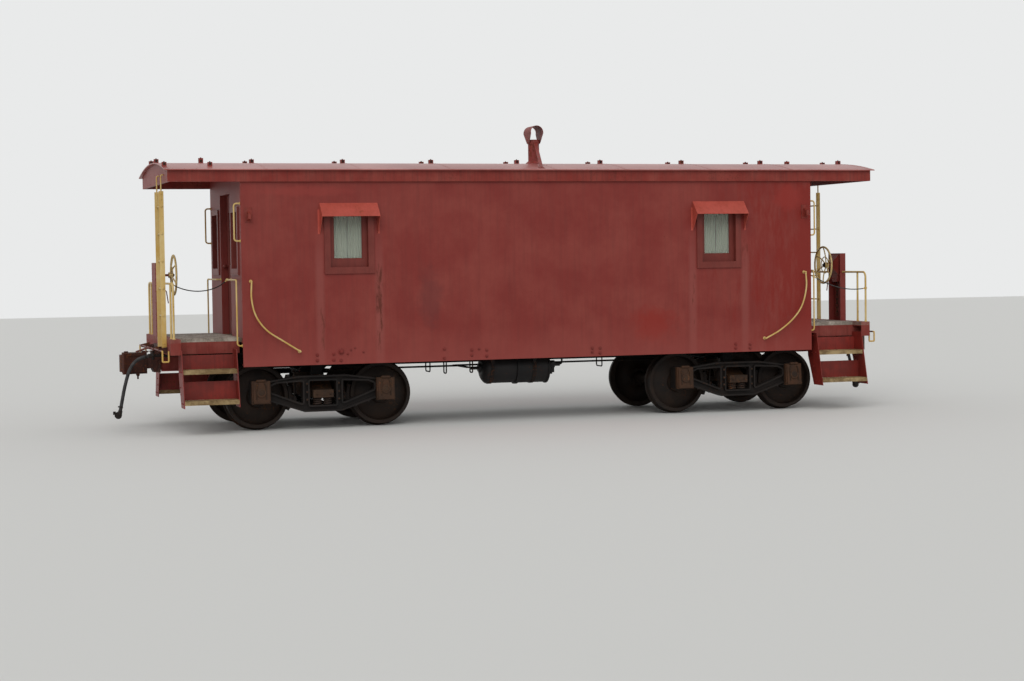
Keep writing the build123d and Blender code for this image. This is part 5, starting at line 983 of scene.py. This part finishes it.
class CABOOSE_OT_roof_trim(bpy.types.Operator):
    """Adds the laps, nails and screws of the roof and its boards, and the bolts of the smoke pipe"""
    bl_idname = "caboose.roof_trim"
    bl_label = "Roof Trim"

    def execute(self, context):
        laps, nails = bmesh.new(), bmesh.new()
        steps = 24
        reach = asin((EAVE_Y - 4 * MM) / ROOF_RADIUS)
        for number in range(9):
            x = -4.375 + 1.25 * number - 0.625 + (0.22 if number == 4 else 0)
            # A lap strip bent over the roof, 32 mm wide and 1.6 mm thick
            rows = []
            for across, lift in ((-16, 0.2), (-16, 1.4), (-14, 1.8), (14, 1.8), (16, 0.2)):
                rows.append([
                    laps.verts.new(on_roof(x + across * MM, -reach + 2 * reach * step / steps, lift * MM))
                    for step in range(steps + 1)
                ])
            bridge(laps, rows, closed=False)
            for step in range(1, 26):
                turn = -reach + 2 * reach * step / 26
                rivet(nails, on_roof(x, turn, 1.6 * MM), (0, sin(turn), cos(turn)), 5 * MM)
        # Nails of the drip edge
        edge_turn = asin((EAVE_Y - 28 * MM) / ROOF_RADIUS)
        for turn in (-edge_turn, edge_turn):
            for number in range(66):
                at = on_roof(-4.95 + 9.9 * number / 65, turn)
                rivet(nails, at, (0, sin(turn), cos(turn)), 5 * MM)
        saddles = bmesh.new()
        for x, y, height in SADDLES:
            bolt(saddles, (x, y, roof_height(y) + height * MM), (0, 0, 1), 9 * MM, spin=x)
            for side in (-1, 1):
                cleat = facing((x, y + side * 29.3 * MM, roof_height(y) + 26 * MM), (0, side, 0))
                plate(saddles, cleat, 30 * MM, 34 * MM, 2 * MM)
                rivet(saddles, (x, y + side * 31.3 * MM, roof_height(y) + 30 * MM), (0, side, 0), 5 * MM)
        again(saddles, HALF_TURN)
        mesh_piece("roof_laps", laps, "roof_enamel")
        mesh_piece("roof_nails", nails, "roof_enamel")
        mesh_piece("saddle_screws", saddles, "chain_iron")
        # Nails of the boards below the eaves, and the cover strips over their joints
        boards = bmesh.new()
        for number in range(25):
            for z in (3.29, 3.375):
                rivet(boards, (-4.85 + 9.7 * number / 24, BOARD_Y, z), (0, -1, 0), 4.5 * MM)
        for x in (-2.45, 0.02, 2.52):
            plate(boards, facing((x, BOARD_Y, 3.337), (0, -1, 0)), 0.11, 70 * MM, 2 * MM)
        for y in (-1.1, -0.75, -0.4, 0, 0.4, 0.75, 1.1):
            for z in (3.30, 3.40):
                rivet(boards, (BOARD_X, y, z), (-1, 0, 0), 4.5 * MM)
        again(boards, HALF_TURN)
        mesh_piece("board_nails", boards, "fascia_enamel")
        # Smoke pipe: bolts of its hood, nails round its flashing and the bead round its middle
        stack = bmesh.new()
        pipe_x, pipe_top = 0.34, 3.905
        for side in (-1, 1):
            for drop in (12, 40):
                bolt(stack, (pipe_x + side * 84.8 * MM, 0, pipe_top - drop * MM), (side, 0, 0), 7 * MM)
        flashing = Matrix.Translation((pipe_x, 0, RIDGE + 14.5 * MM))
        for at in round_about(flashing, 0.108, 8, 0.4):
            rivet(stack, at, (0, 0, 1), 5 * MM)
        spun(stack, Matrix.Translation((pipe_x, 0, RIDGE + 0.20)), [
            (79.1 * MM, -3 * MM), (81.5 * MM, -2 * MM), (81.5 * MM, 2 * MM), (79.1 * MM, 3 * MM)], 32)
        mesh_piece("stack_fastenings", stack, "stack_enamel")
        return {"FINISHED"}


class CABOOSE_OT_doors(bpy.types.Operator):
    """Adds mouldings, lock plates and screws to the doors"""
    bl_idname = "caboose.doors"
    bl_label = "Door Trim"

    def execute(self, context):
        for end, name in ((-1, "door_west"), (1, "door_east")):
            shape = bmesh.new()
            for face in (-1, 1):
                out = Vector((face, 0, 0))
                skin = end * DOOR_X + face * 21 * MM
                # Bead round the pane and moulding in the sunk panel
                window = upright((skin, 0, 2.545), out)
                frame_ring(shape, window, 0.232, 0.367, [
                    (0, 0), (0, 5 * MM), (9 * MM, 7 * MM), (12 * MM, 0)])
                panel = upright((skin - face * 8 * MM, 0, 1.72), out)
                frame_ring(shape, panel, 0.2195, 0.2895, [
                    (0, 0), (2 * MM, 9 * MM), (10 * MM, 7 * MM), (16 * MM, 0)])
                lock = upright((skin, -end * 0.32, 2.175), out)
                plate(shape, lock @ Matrix.Translation((0, -20 * MM, 0)), 60 * MM, 0.17, 2.5 * MM)
                spun(shape, lock, [(24 * MM, 2.5 * MM), (22 * MM, 6 * MM), (12 * MM, 8 * MM)], 18)
                spun(shape, lock @ Matrix.Translation((0, -62 * MM, 0)), [
                    (9 * MM, 2.5 * MM), (8 * MM, 4.5 * MM), (3 * MM, 4.5 * MM), (3 * MM, 2 * MM)], 14)
                for corner_x in (-22, 22):
                    for corner_z in (-94, 54):
                        rivet(shape, lock @ Vector((corner_x * MM, corner_z * MM, 2.5 * MM)), out, 3 * MM)
                # Kick plate with its screws
                kick = upright((skin, 0, 1.335), out)
                plate(shape, kick, 0.70, 0.15, 1.5 * MM)
                for across in range(-330, 331, 94):
                    for height in (-64, 64):
                        rivet(shape, kick @ Vector((across * MM, height * MM, 1.5 * MM)), out, 4 * MM)
            mesh_piece(f"{name}_trim", shape, "board_enamel", body_of(name))
        return {"FINISHED"}


class CABOOSE_OT_step_trim(bpy.types.Operator):
    """Adds bolts, cleats and screws to the steps, and nails to the decks"""
    bl_idname = "caboose.step_trim"
    bl_label = "Step Trim"

    def execute(self, context):
        shape, screws = bmesh.new(), bmesh.new()
        outer_x, inner_x = 4.8747, 4.165
        for x, out in ((outer_x + 5 * MM, 1), (inner_x - 5 * MM, -1)):
            for y, z in (
                (-0.965, 0.96), (-0.965, 0.88), (-1.11, 0.62), (-1.11, 0.53), (-1.20, 0.418), (-1.30, 0.418),
                (-1.06, 0.818), (-1.18, 0.818), (-0.97, 1.06), (-1.10, 1.06),
            ):
                bolt(shape, (x, y, z), (out, 0, 0), 9 * MM, spin=5 * z)
        # Angle cleats under the ends of each tread
        for top, back, nose in ((0.845, 0.995, 1.250), (0.455, 1.120, 1.385)):
            for x, out in ((outer_x - 5.3 * MM, -1), (inner_x + 5.3 * MM, 1)):
                middle_y = -(back + nose) / 2
                cleat = facing((x, middle_y, top - 55 * MM - 17 * MM), (out, 0, 0))
                plate(shape, cleat, 0.18, 30 * MM, 5 * MM)
            for number in range(6):
                x = inner_x + 0.07 + number * (outer_x - inner_x - 0.14) / 5
                for y in (back + 25 * MM, nose - 25 * MM):
                    rivet(screws, (x, -y, top - 0.6 * MM), (0, 0, 1), 5.5 * MM)
        for made in (shape, screws):
            again(made, ACROSS_X)
            again(made, ACROSS_Y)
        mesh_piece("step_bolts", shape, "step_enamel")
        mesh_piece("tread_screws", screws, "chain_iron")
        # Nails of the deck planks
        nails = bmesh.new()
        for number in range(6):
            x = -END_X + 72 * MM + number * 0.145
            for y in (-0.87, -0.45, -0.16, 0.16, 0.55, 0.87):
                if (abs(y - 0.29) > 0.2 or number > 0) and not (number == 0 and abs(abs(y) - 0.65) < 0.22):
                    rivet(nails, (x - 25 * MM, y, DECK_TOP - 0.8 * MM), (0, 0, 1), 4.5 * MM)
                    rivet(nails, (x + 30 * MM, y, DECK_TOP - 0.8 * MM), (0, 0, 1), 4.5 * MM)
        again(nails, HALF_TURN)
        mesh_piece("deck_nails", nails, "chain_iron")
        return {"FINISHED"}


# Routes of the curved handrails of the near side: x and z
SIDE_RAILS = (
    ((-3.965, 1.975), (-3.970, 1.750), (-3.917, 1.527), (-3.777, 1.336), (-3.556, 1.187), (-3.340, 1.050)),
    ((3.965, 1.975), (3.970, 1.750), (3.900, 1.500), (3.760, 1.316), (3.556, 1.160), (3.340, 1.050)),
)


class CABOOSE_OT_rail_trim(bpy.types.Operator):
    """Adds the bolts, flanges and clips of the ladders, railings and handrails"""
    bl_idname = "caboose.rail_trim"
    bl_label = "Rail Trim"

    def execute(self, context):
        shape = bmesh.new()
        ladder_x = -END_X - 31.3 * MM
        for y, out in ((-0.85, -1), (-0.45, 1)):
            # Bolts of the five rungs, of the foot and of the head
            rungs = [(DECK_TOP + 0.3 + 0.355 * number, 13) for number in range(5)]
            for z, radius in (*rungs, (1.150, 11), (1.182, 11), (3.05, 8), (3.12, 8)):
                bolt(shape, (ladder_x, y + out * 6 * MM, z), (0, out, 0), radius * MM, spin=z)
            # Angle that ties the stile to the end sill
            tie = facing((ladder_x + 0.2 * MM, y + out * 6.2 * MM, 1.166), (0, out, 0))
            plate(shape, tie, 58 * MM, 62 * MM, 3 * MM)
        # Floor flanges under the railings' uprights, with their screws
        for y in (-1.175, -0.935, 0.935, 1.175):
            foot = Matrix.Translation((-4.965, y, DECK_TOP))
            spun(shape, foot, [
                (24 * MM, 0), (24 * MM, 4 * MM), (19 * MM, 6 * MM), (16 * MM, 16 * MM),
                (14.2 * MM, 18 * MM)], 24)
            for at in round_about(foot @ Matrix.Translation((0, 0, 4 * MM)), 21 * MM, 4, pi / 4):
                rivet(shape, at, (0, 0, 1), 2.4 * MM)
        # Rails on the end wall: one across and down by the corner, and a grab rail above it
        rails = bmesh.new()
        wall, off = -WALL_X - 0.3 * MM, -WALL_X - 65 * MM
        feet = []
        for side in (-1, 1):
            inner, outer = side * 0.405, side * 1.165
            tube(rails, bent([
                (wall, inner, 1.995), (off, inner, 1.995), (off, outer, 1.995), (off, outer, 1.14),
                (wall, outer, 1.14)], 35 * MM), 11 * MM, 12)
            tube(rails, bent([
                (wall, outer, 2.5), (off - 15 * MM, outer, 2.5), (off - 15 * MM, outer, 2.985),
                (wall, outer, 2.985)], 35 * MM), 11 * MM, 12)
            for y, z in ((inner, 1.995), (outer, 1.14), (outer, 2.5), (outer, 2.985)):
                feet.append(((wall, y, z), (-1, 0, 0)))
        # Handrails that curve down along the sides, with a ball at each end
        wall, off = -WALL_Y - 0.3 * MM, -WALL_Y - 65 * MM
        for route in SIDE_RAILS:
            tube(rails, flowing([(x, off, z) for x, z in route]), 11 * MM, 12)
            for x, z in (route[0], route[-1]):
                feet.append(((x, wall, z), (0, -1, 0)))
                tube(rails, [(x, wall, z), (x, off, z)], 11 * MM, 12)
                ball = 14 * MM
                curve = [(ball * cos(pi * step / 8), ball * sin(pi * step / 8)) for step in range(-3, 4)]
                spun(rails, facing((x, off, z), (0, -1, 0)), [(0, -ball), *curve, (0, ball)], 16)
        for at, out in feet:
            place = facing(at, out)
            spun(rails, place, [(22 * MM, 0), (22 * MM, 5 * MM), (20.5 * MM, 6 * MM), (10 * MM, 6 * MM)], 20)
            for turn in (0.5, 2.59, 4.69):
                at = place @ Vector((18.5 * MM * cos(turn), 18.5 * MM * sin(turn), 5.7 * MM))
                rivet(shape, at, out, 3.2 * MM)
            spun(shape, place, [
                (15 * MM, 6 * MM), (15 * MM, 9 * MM), (12.5 * MM, 15 * MM), (11.2 * MM, 16 * MM)], 18)
        for made in (shape, rails):
            again(made, HALF_TURN)
        mesh_piece("rail_fittings", shape, "rail_enamel")
        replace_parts(mesh_piece("bent_handrails", rails, "rail_enamel"), "handrails")
        return {"FINISHED"}


class CABOOSE_OT_brake_trim(bpy.types.Operator):
    """Adds the rivets and hub nuts of the hand brakes"""
    bl_idname = "caboose.brake_trim"
    bl_label = "Hand Brake Trim"

    def execute(self, context):
        rivets, nuts = bmesh.new(), bmesh.new()
        post_y, outer = 0.29, -END_X
        for number in range(12):
            z = DECK_TOP + 0.06 + 0.078 * number
            for edge in (-0.165, 0.165):
                rivet(rivets, (outer, post_y + edge, z), (-1, 0, 0), 6.5 * MM)
        for z in (1.34, 1.60, 1.75):
            for edge in (-1, 1):
                for x in (0.03, 0.066):
                    rivet(rivets, (outer + x, post_y + edge * 0.185, z), (0, edge, 0), 6.5 * MM)
        # Rivets along the top of the gear case and down its tapered foot
        for across, z in (
            (0.03, 2.223), (0.09, 2.223), (0.147, 2.223), (0.078, 1.905), (0.070, 1.868), (0.063, 1.835),
        ):
            for edge in (-1, 1):
                rivet(rivets, (outer + 87.8 * MM, post_y + edge * across, z), (1, 0, 0), 4.5 * MM)
        again(rivets, HALF_TURN)
        mesh_piece("brake_post_rivets", rivets, "end_enamel")
        # Hub nut in front of the wheel
        bolt(nuts, (-4.765, post_y, 2.065), (1, 0, 0), 24 * MM, spin=0.2)
        again(nuts, HALF_TURN)
        mesh_piece("brake_wheel_nuts", nuts, "chain_iron")
        return {"FINISHED"}


class CABOOSE_OT_truck_trim(bpy.types.Operator):
    """Winds the truck springs, and adds the bolts, lid ribs and wheel plugs of the trucks"""
    bl_idname = "caboose.truck_trim"
    bl_label = "Truck Trim"

    def execute(self, context):
        for name, middle in (("west", -TRUCK_X), ("east", TRUCK_X)):
            node = f"truck_springs_{name}"
            low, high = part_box(node)
            coils = bmesh.new()
            for side in (-1, 1):
                for x in (-0.068, 0.068):
                    for radius, wire, turns, hand in ((0.0505, 0.0108, 3.6, 1), (0.0285, 0.0075, 5.0, -1)):
                        count = round(turns * 20)
                        rise = high.z - low.z - 2 * wire
                        route = []
                        for step in range(count + 1):
                            turn = hand * 2 * pi * step / 20
                            climb = min(1, max(0, (step - 8) / (count - 16)))
                            route.append((
                                middle + x + radius * cos(turn), side * SIDE_FRAME_Y + radius * sin(turn),
                                low.z + wire + rise * climb))
                        tube(coils, route, wire)
            springs = mesh_piece(f"coil_springs_{name}", coils, "chain_iron", body_of(node), crease=60)
            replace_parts(springs, node)
            shape, boxes = bmesh.new(), bmesh.new()
            for side in (-1, 1):
                face = side * (SIDE_FRAME_Y + 0.055)
                out = (0, side, 0)
                for turn in (-1, 1):
                    # Column bolts and the rivets of the bolster guides
                    for z in (0.40, 0.50, 0.61):
                        at = (middle + turn * 0.214, face - side * 0.2 * MM, z)
                        bolt(shape, at, out, 13 * MM, spin=z * 9)
                    for x, z in ((0.30, 0.262), (0.45, 0.300), (0.62, 0.352), (0.33, 0.696), (0.50, 0.673)):
                        rivet(shape, (middle + turn * x, face - side * 0.2 * MM, z), out, 11 * MM)
                    # Bolts on the flanks of the journal boxes
                    box_x = middle + turn * HALF_WHEELBASE
                    for corner in (-1, 1):
                        bolt(boxes, (box_x + corner * 0.113, side * 1.124, 0.392), out, 10 * MM, spin=corner)
                    # Lid: raised rim, two ribs and the ends of its hinge pin
                    slope = atan2(0.022, 0.26)
                    tilt = Matrix.Rotation(side * slope, 4, "X")
                    lid = Matrix.Translation((box_x, side * 1.1325, 0.522)) @ tilt @ facing((0, 0, 0), out)
                    spun(boxes, lid @ Matrix.Translation((0, 0, 18 * MM)), [
                        (44 * MM, -16 * MM), (44 * MM, -1 * MM), (38 * MM, 2 * MM), (30 * MM, 2 * MM),
                        (27 * MM, -1 * MM), (0, -1 * MM)], 28)
                    for rib in (-62, 62):
                        route = [
                            (box_x + lean * rib * MM, side * y, z) for lean, y, z in (
                                (1, 1.145, 0.43), (1, 1.1435, 0.5), (1, 1.1375, 0.6), (0.7, 1.1335, 0.64))]
                        tube(boxes, route, 8 * MM)
                    for way, spin in ((1, 0.1), (-1, 0.5)):
                        pin_end = (box_x + way * 55 * MM, side * 1.120, 0.672)
                        bolt(boxes, pin_end, (way, 0, 0), 11 * MM, spin=spin)
                # Pads and bolts on the end of the bolster
                for x in (-0.09, 0.09):
                    bolt(boxes, (middle + x, side * 1.075, 0.476), out, 14 * MM, spin=x)
                plate(boxes, facing((middle, side * 1.075, 0.476), out), 0.10, 56 * MM, 5 * MM)
                # Rivets of the spring plank
                for x in (-0.12, -0.04, 0.04, 0.12):
                    rivet(shape, (middle + x, side * 0.93, 0.325 - 0.3 * MM), (0, 0, 1), 9 * MM)
            mesh_piece(f"truck_bolts_{name}", shape, "cast_truck", body_of(f"truck_frames_{name}"))
            mesh_piece(f"journal_lids_{name}", boxes, "cast_box", body_of(f"truck_frames_{name}"))
        # Core plugs of the wheels
        for number in range(1, 5):
            node = f"wheels_{number}"
            low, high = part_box(node)
            shape = bmesh.new()
            for side in (-1, 1):
                way = (0, side, 0)
                place = facing(((low.x + high.x) / 2, side * 0.757, (low.z + high.z) / 2), way)
                for at in round_about(place, 0.105, 3, 0.3):
                    rivet(shape, at, way, 9 * MM)
            mesh_piece(f"wheel_plugs_{number}", shape, "wheel_steel", body_of(node))
        return {"FINISHED"}


class CABOOSE_OT_floor_trim(bpy.types.Operator):
    """Adds bolts, rivets and unions to the tanks, pipes and frame under the floor"""
    bl_idname = "caboose.floor_trim"
    bl_label = "Underfloor Trim"

    def execute(self, context):
        shape = bmesh.new()
        tank = Vector((0, -0.6, 0.722))
        # Ring of bolts through the flanges that join cylinder and reservoir
        for number in range(12):
            turn = 2 * pi * number / 12 + 0.1
            way = Vector((0, cos(turn), sin(turn)))
            at = tank + Vector((-0.210, 0, 0)) + 0.2265 * way
            bolt(shape, at, (-1, 0, 0), 9 * MM, spin=turn, washer=False)
            at = tank + Vector((0.262, 0, 0)) + 0.190 * way
            bolt(shape, at, (1, 0, 0), 10 * MM, spin=turn)
        for number in range(8):
            turn = 2 * pi * number / 8
            way = Vector((0, cos(turn), sin(turn)))
            rivet(shape, tank + Vector((0.15, 0, 0)) + 0.2215 * way, way, 6 * MM)
        mesh_piece("tank_bolts", shape, "tank_enamel")
        # Unions along the train pipe
        pipe = bmesh.new()
        for x in (-4.95, -4.2, -2.35, -1.6, -0.7):
            place = facing((x, TRAIN_PIPE_Y, TRAIN_PIPE_Z), (1, 0, 0))
            spun(pipe, place, [
                (21.2 * MM, -26 * MM), (26 * MM, -24 * MM), (26 * MM, -12 * MM), (31 * MM, -11 * MM),
                (31 * MM, 11 * MM), (26 * MM, 12 * MM), (26 * MM, 24 * MM), (21.2 * MM, 26 * MM)],
                8 if x < -4.5 else 14)
        again(pipe, HALF_TURN)
        mesh_piece("pipe_unions", pipe, "forged_rod")
        # Bolts under the cross bearers and bolsters
        frame_bolts = bmesh.new()
        for x in (-1.25, 1.25):
            for y in (-1.05, -0.7, -0.4, 0.4, 0.7, 1.05):
                bolt(frame_bolts, (x + 0.03, y, 0.945), (0, 0, -1), 11 * MM, spin=y)
        for x in (-TRUCK_X, TRUCK_X):
            for y in (-0.21, 0.21):
                for along in (-0.14, 0.14):
                    bolt(frame_bolts, (x + along, y, 0.742), (0, 0, -1), 11 * MM, spin=y + along)
        # Rivets through the end sills
        for end in (-1, 1):
            for y in (0.3, 0.58, 0.72, 0.97, 1.03, 1.15):
                for z in (1.065, 1.165):
                    for side in (-1, 1):
                        rivet(frame_bolts, (end * END_X, side * y, z), (end, 0, 0), 9 * MM)
        mesh_piece("underframe_bolts", frame_bolts, "end_enamel")
        return {"FINISHED"}


class CABOOSE_OT_coupler_trim(bpy.types.Operator):
    """Adds ribs to the couplers, and bolts to their strikers and the lever brackets"""
    bl_idname = "caboose.coupler_trim"
    bl_label = "Coupler Trim"

    def execute(self, context):
        shape = bmesh.new()
        # Bolts of the striker and ribs along the head
        for y in (-0.205, 0.205):
            for z in (0.83, 0.93, 1.03, 1.12):
                bolt(shape, (-END_X - 30.3 * MM, y, z), (-1, 0, 0), 14 * MM, spin=z * 7)
        for z in (0.79, 1.01):
            near = ((-5.19, -0.088), (-5.30, -0.114), (-5.38, -0.136), (-5.44, -0.166))
            far = ((-5.19, 0.088), (-5.30, 0.164), (-5.37, 0.176))
            for route in (near, far):
                tube(shape, [(x, y, z) for x, y in route], 9 * MM)
        # Lever bracket bolts
        for y in (-0.9, -0.38, 0.38, 0.9):
            for edge in (-20, 20):
                for z in (1.065, 1.125):
                    bolt(shape, (-END_X - 8.3 * MM, y + edge * MM, z), (-1, 0, 0), 7 * MM, washer=False)
        again(shape, HALF_TURN)
        mesh_piece("coupler_trim", shape, "cast_coupler")
        return {"FINISHED"}


OPERATORS = (
    CABOOSE_OT_stage, CABOOSE_OT_paint, CABOOSE_OT_cords, CABOOSE_OT_curtains, CABOOSE_OT_windows,
    CABOOSE_OT_side_bolts, CABOOSE_OT_roof_trim, CABOOSE_OT_doors, CABOOSE_OT_step_trim,
    CABOOSE_OT_rail_trim, CABOOSE_OT_brake_trim, CABOOSE_OT_truck_trim, CABOOSE_OT_floor_trim,
    CABOOSE_OT_coupler_trim,
)


class CABOOSE_PT_panel(bpy.types.Panel):
    """Lists the car's colours, sizes and pieces"""
    bl_label = "Caboose"
    bl_idname = "CABOOSE_PT_panel"
    bl_space_type = "VIEW_3D"
    bl_region_type = "UI"
    bl_category = "Caboose"

    def draw(self, context):
        for owner, group in GROUPS.items():
            for name in group.__annotations__:
                self.layout.prop(getattr(context.scene, owner), name)
        for operator in OPERATORS:
            self.layout.operator(operator.bl_idname)


GROUPS = {"caboose_paint": CaboosePaint, "caboose_sizes": CabooseSizes, "caboose_stage": CabooseStage}


def register():
    """Registers the classes and ties the property groups to the scene."""
    for known in (*GROUPS.values(), *OPERATORS, CABOOSE_PT_panel):
        bpy.utils.register_class(known)
    for name, group in GROUPS.items():
        setattr(bpy.types.Scene, name, bpy.props.PointerProperty(type=group))


def unregister():
    """Takes the property groups and the classes away again."""
    for name in GROUPS:
        delattr(bpy.types.Scene, name)
    for known in (CABOOSE_PT_panel, *reversed(OPERATORS), *GROUPS.values()):
        bpy.utils.unregister_class(known)


def main():
    """Builds the whole scene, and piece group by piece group."""
    register()
    for operator in OPERATORS:
        group, name = operator.bl_idname.split(".")
        getattr(getattr(bpy.ops, group), name)()


if __name__ == "__main__":
    main()
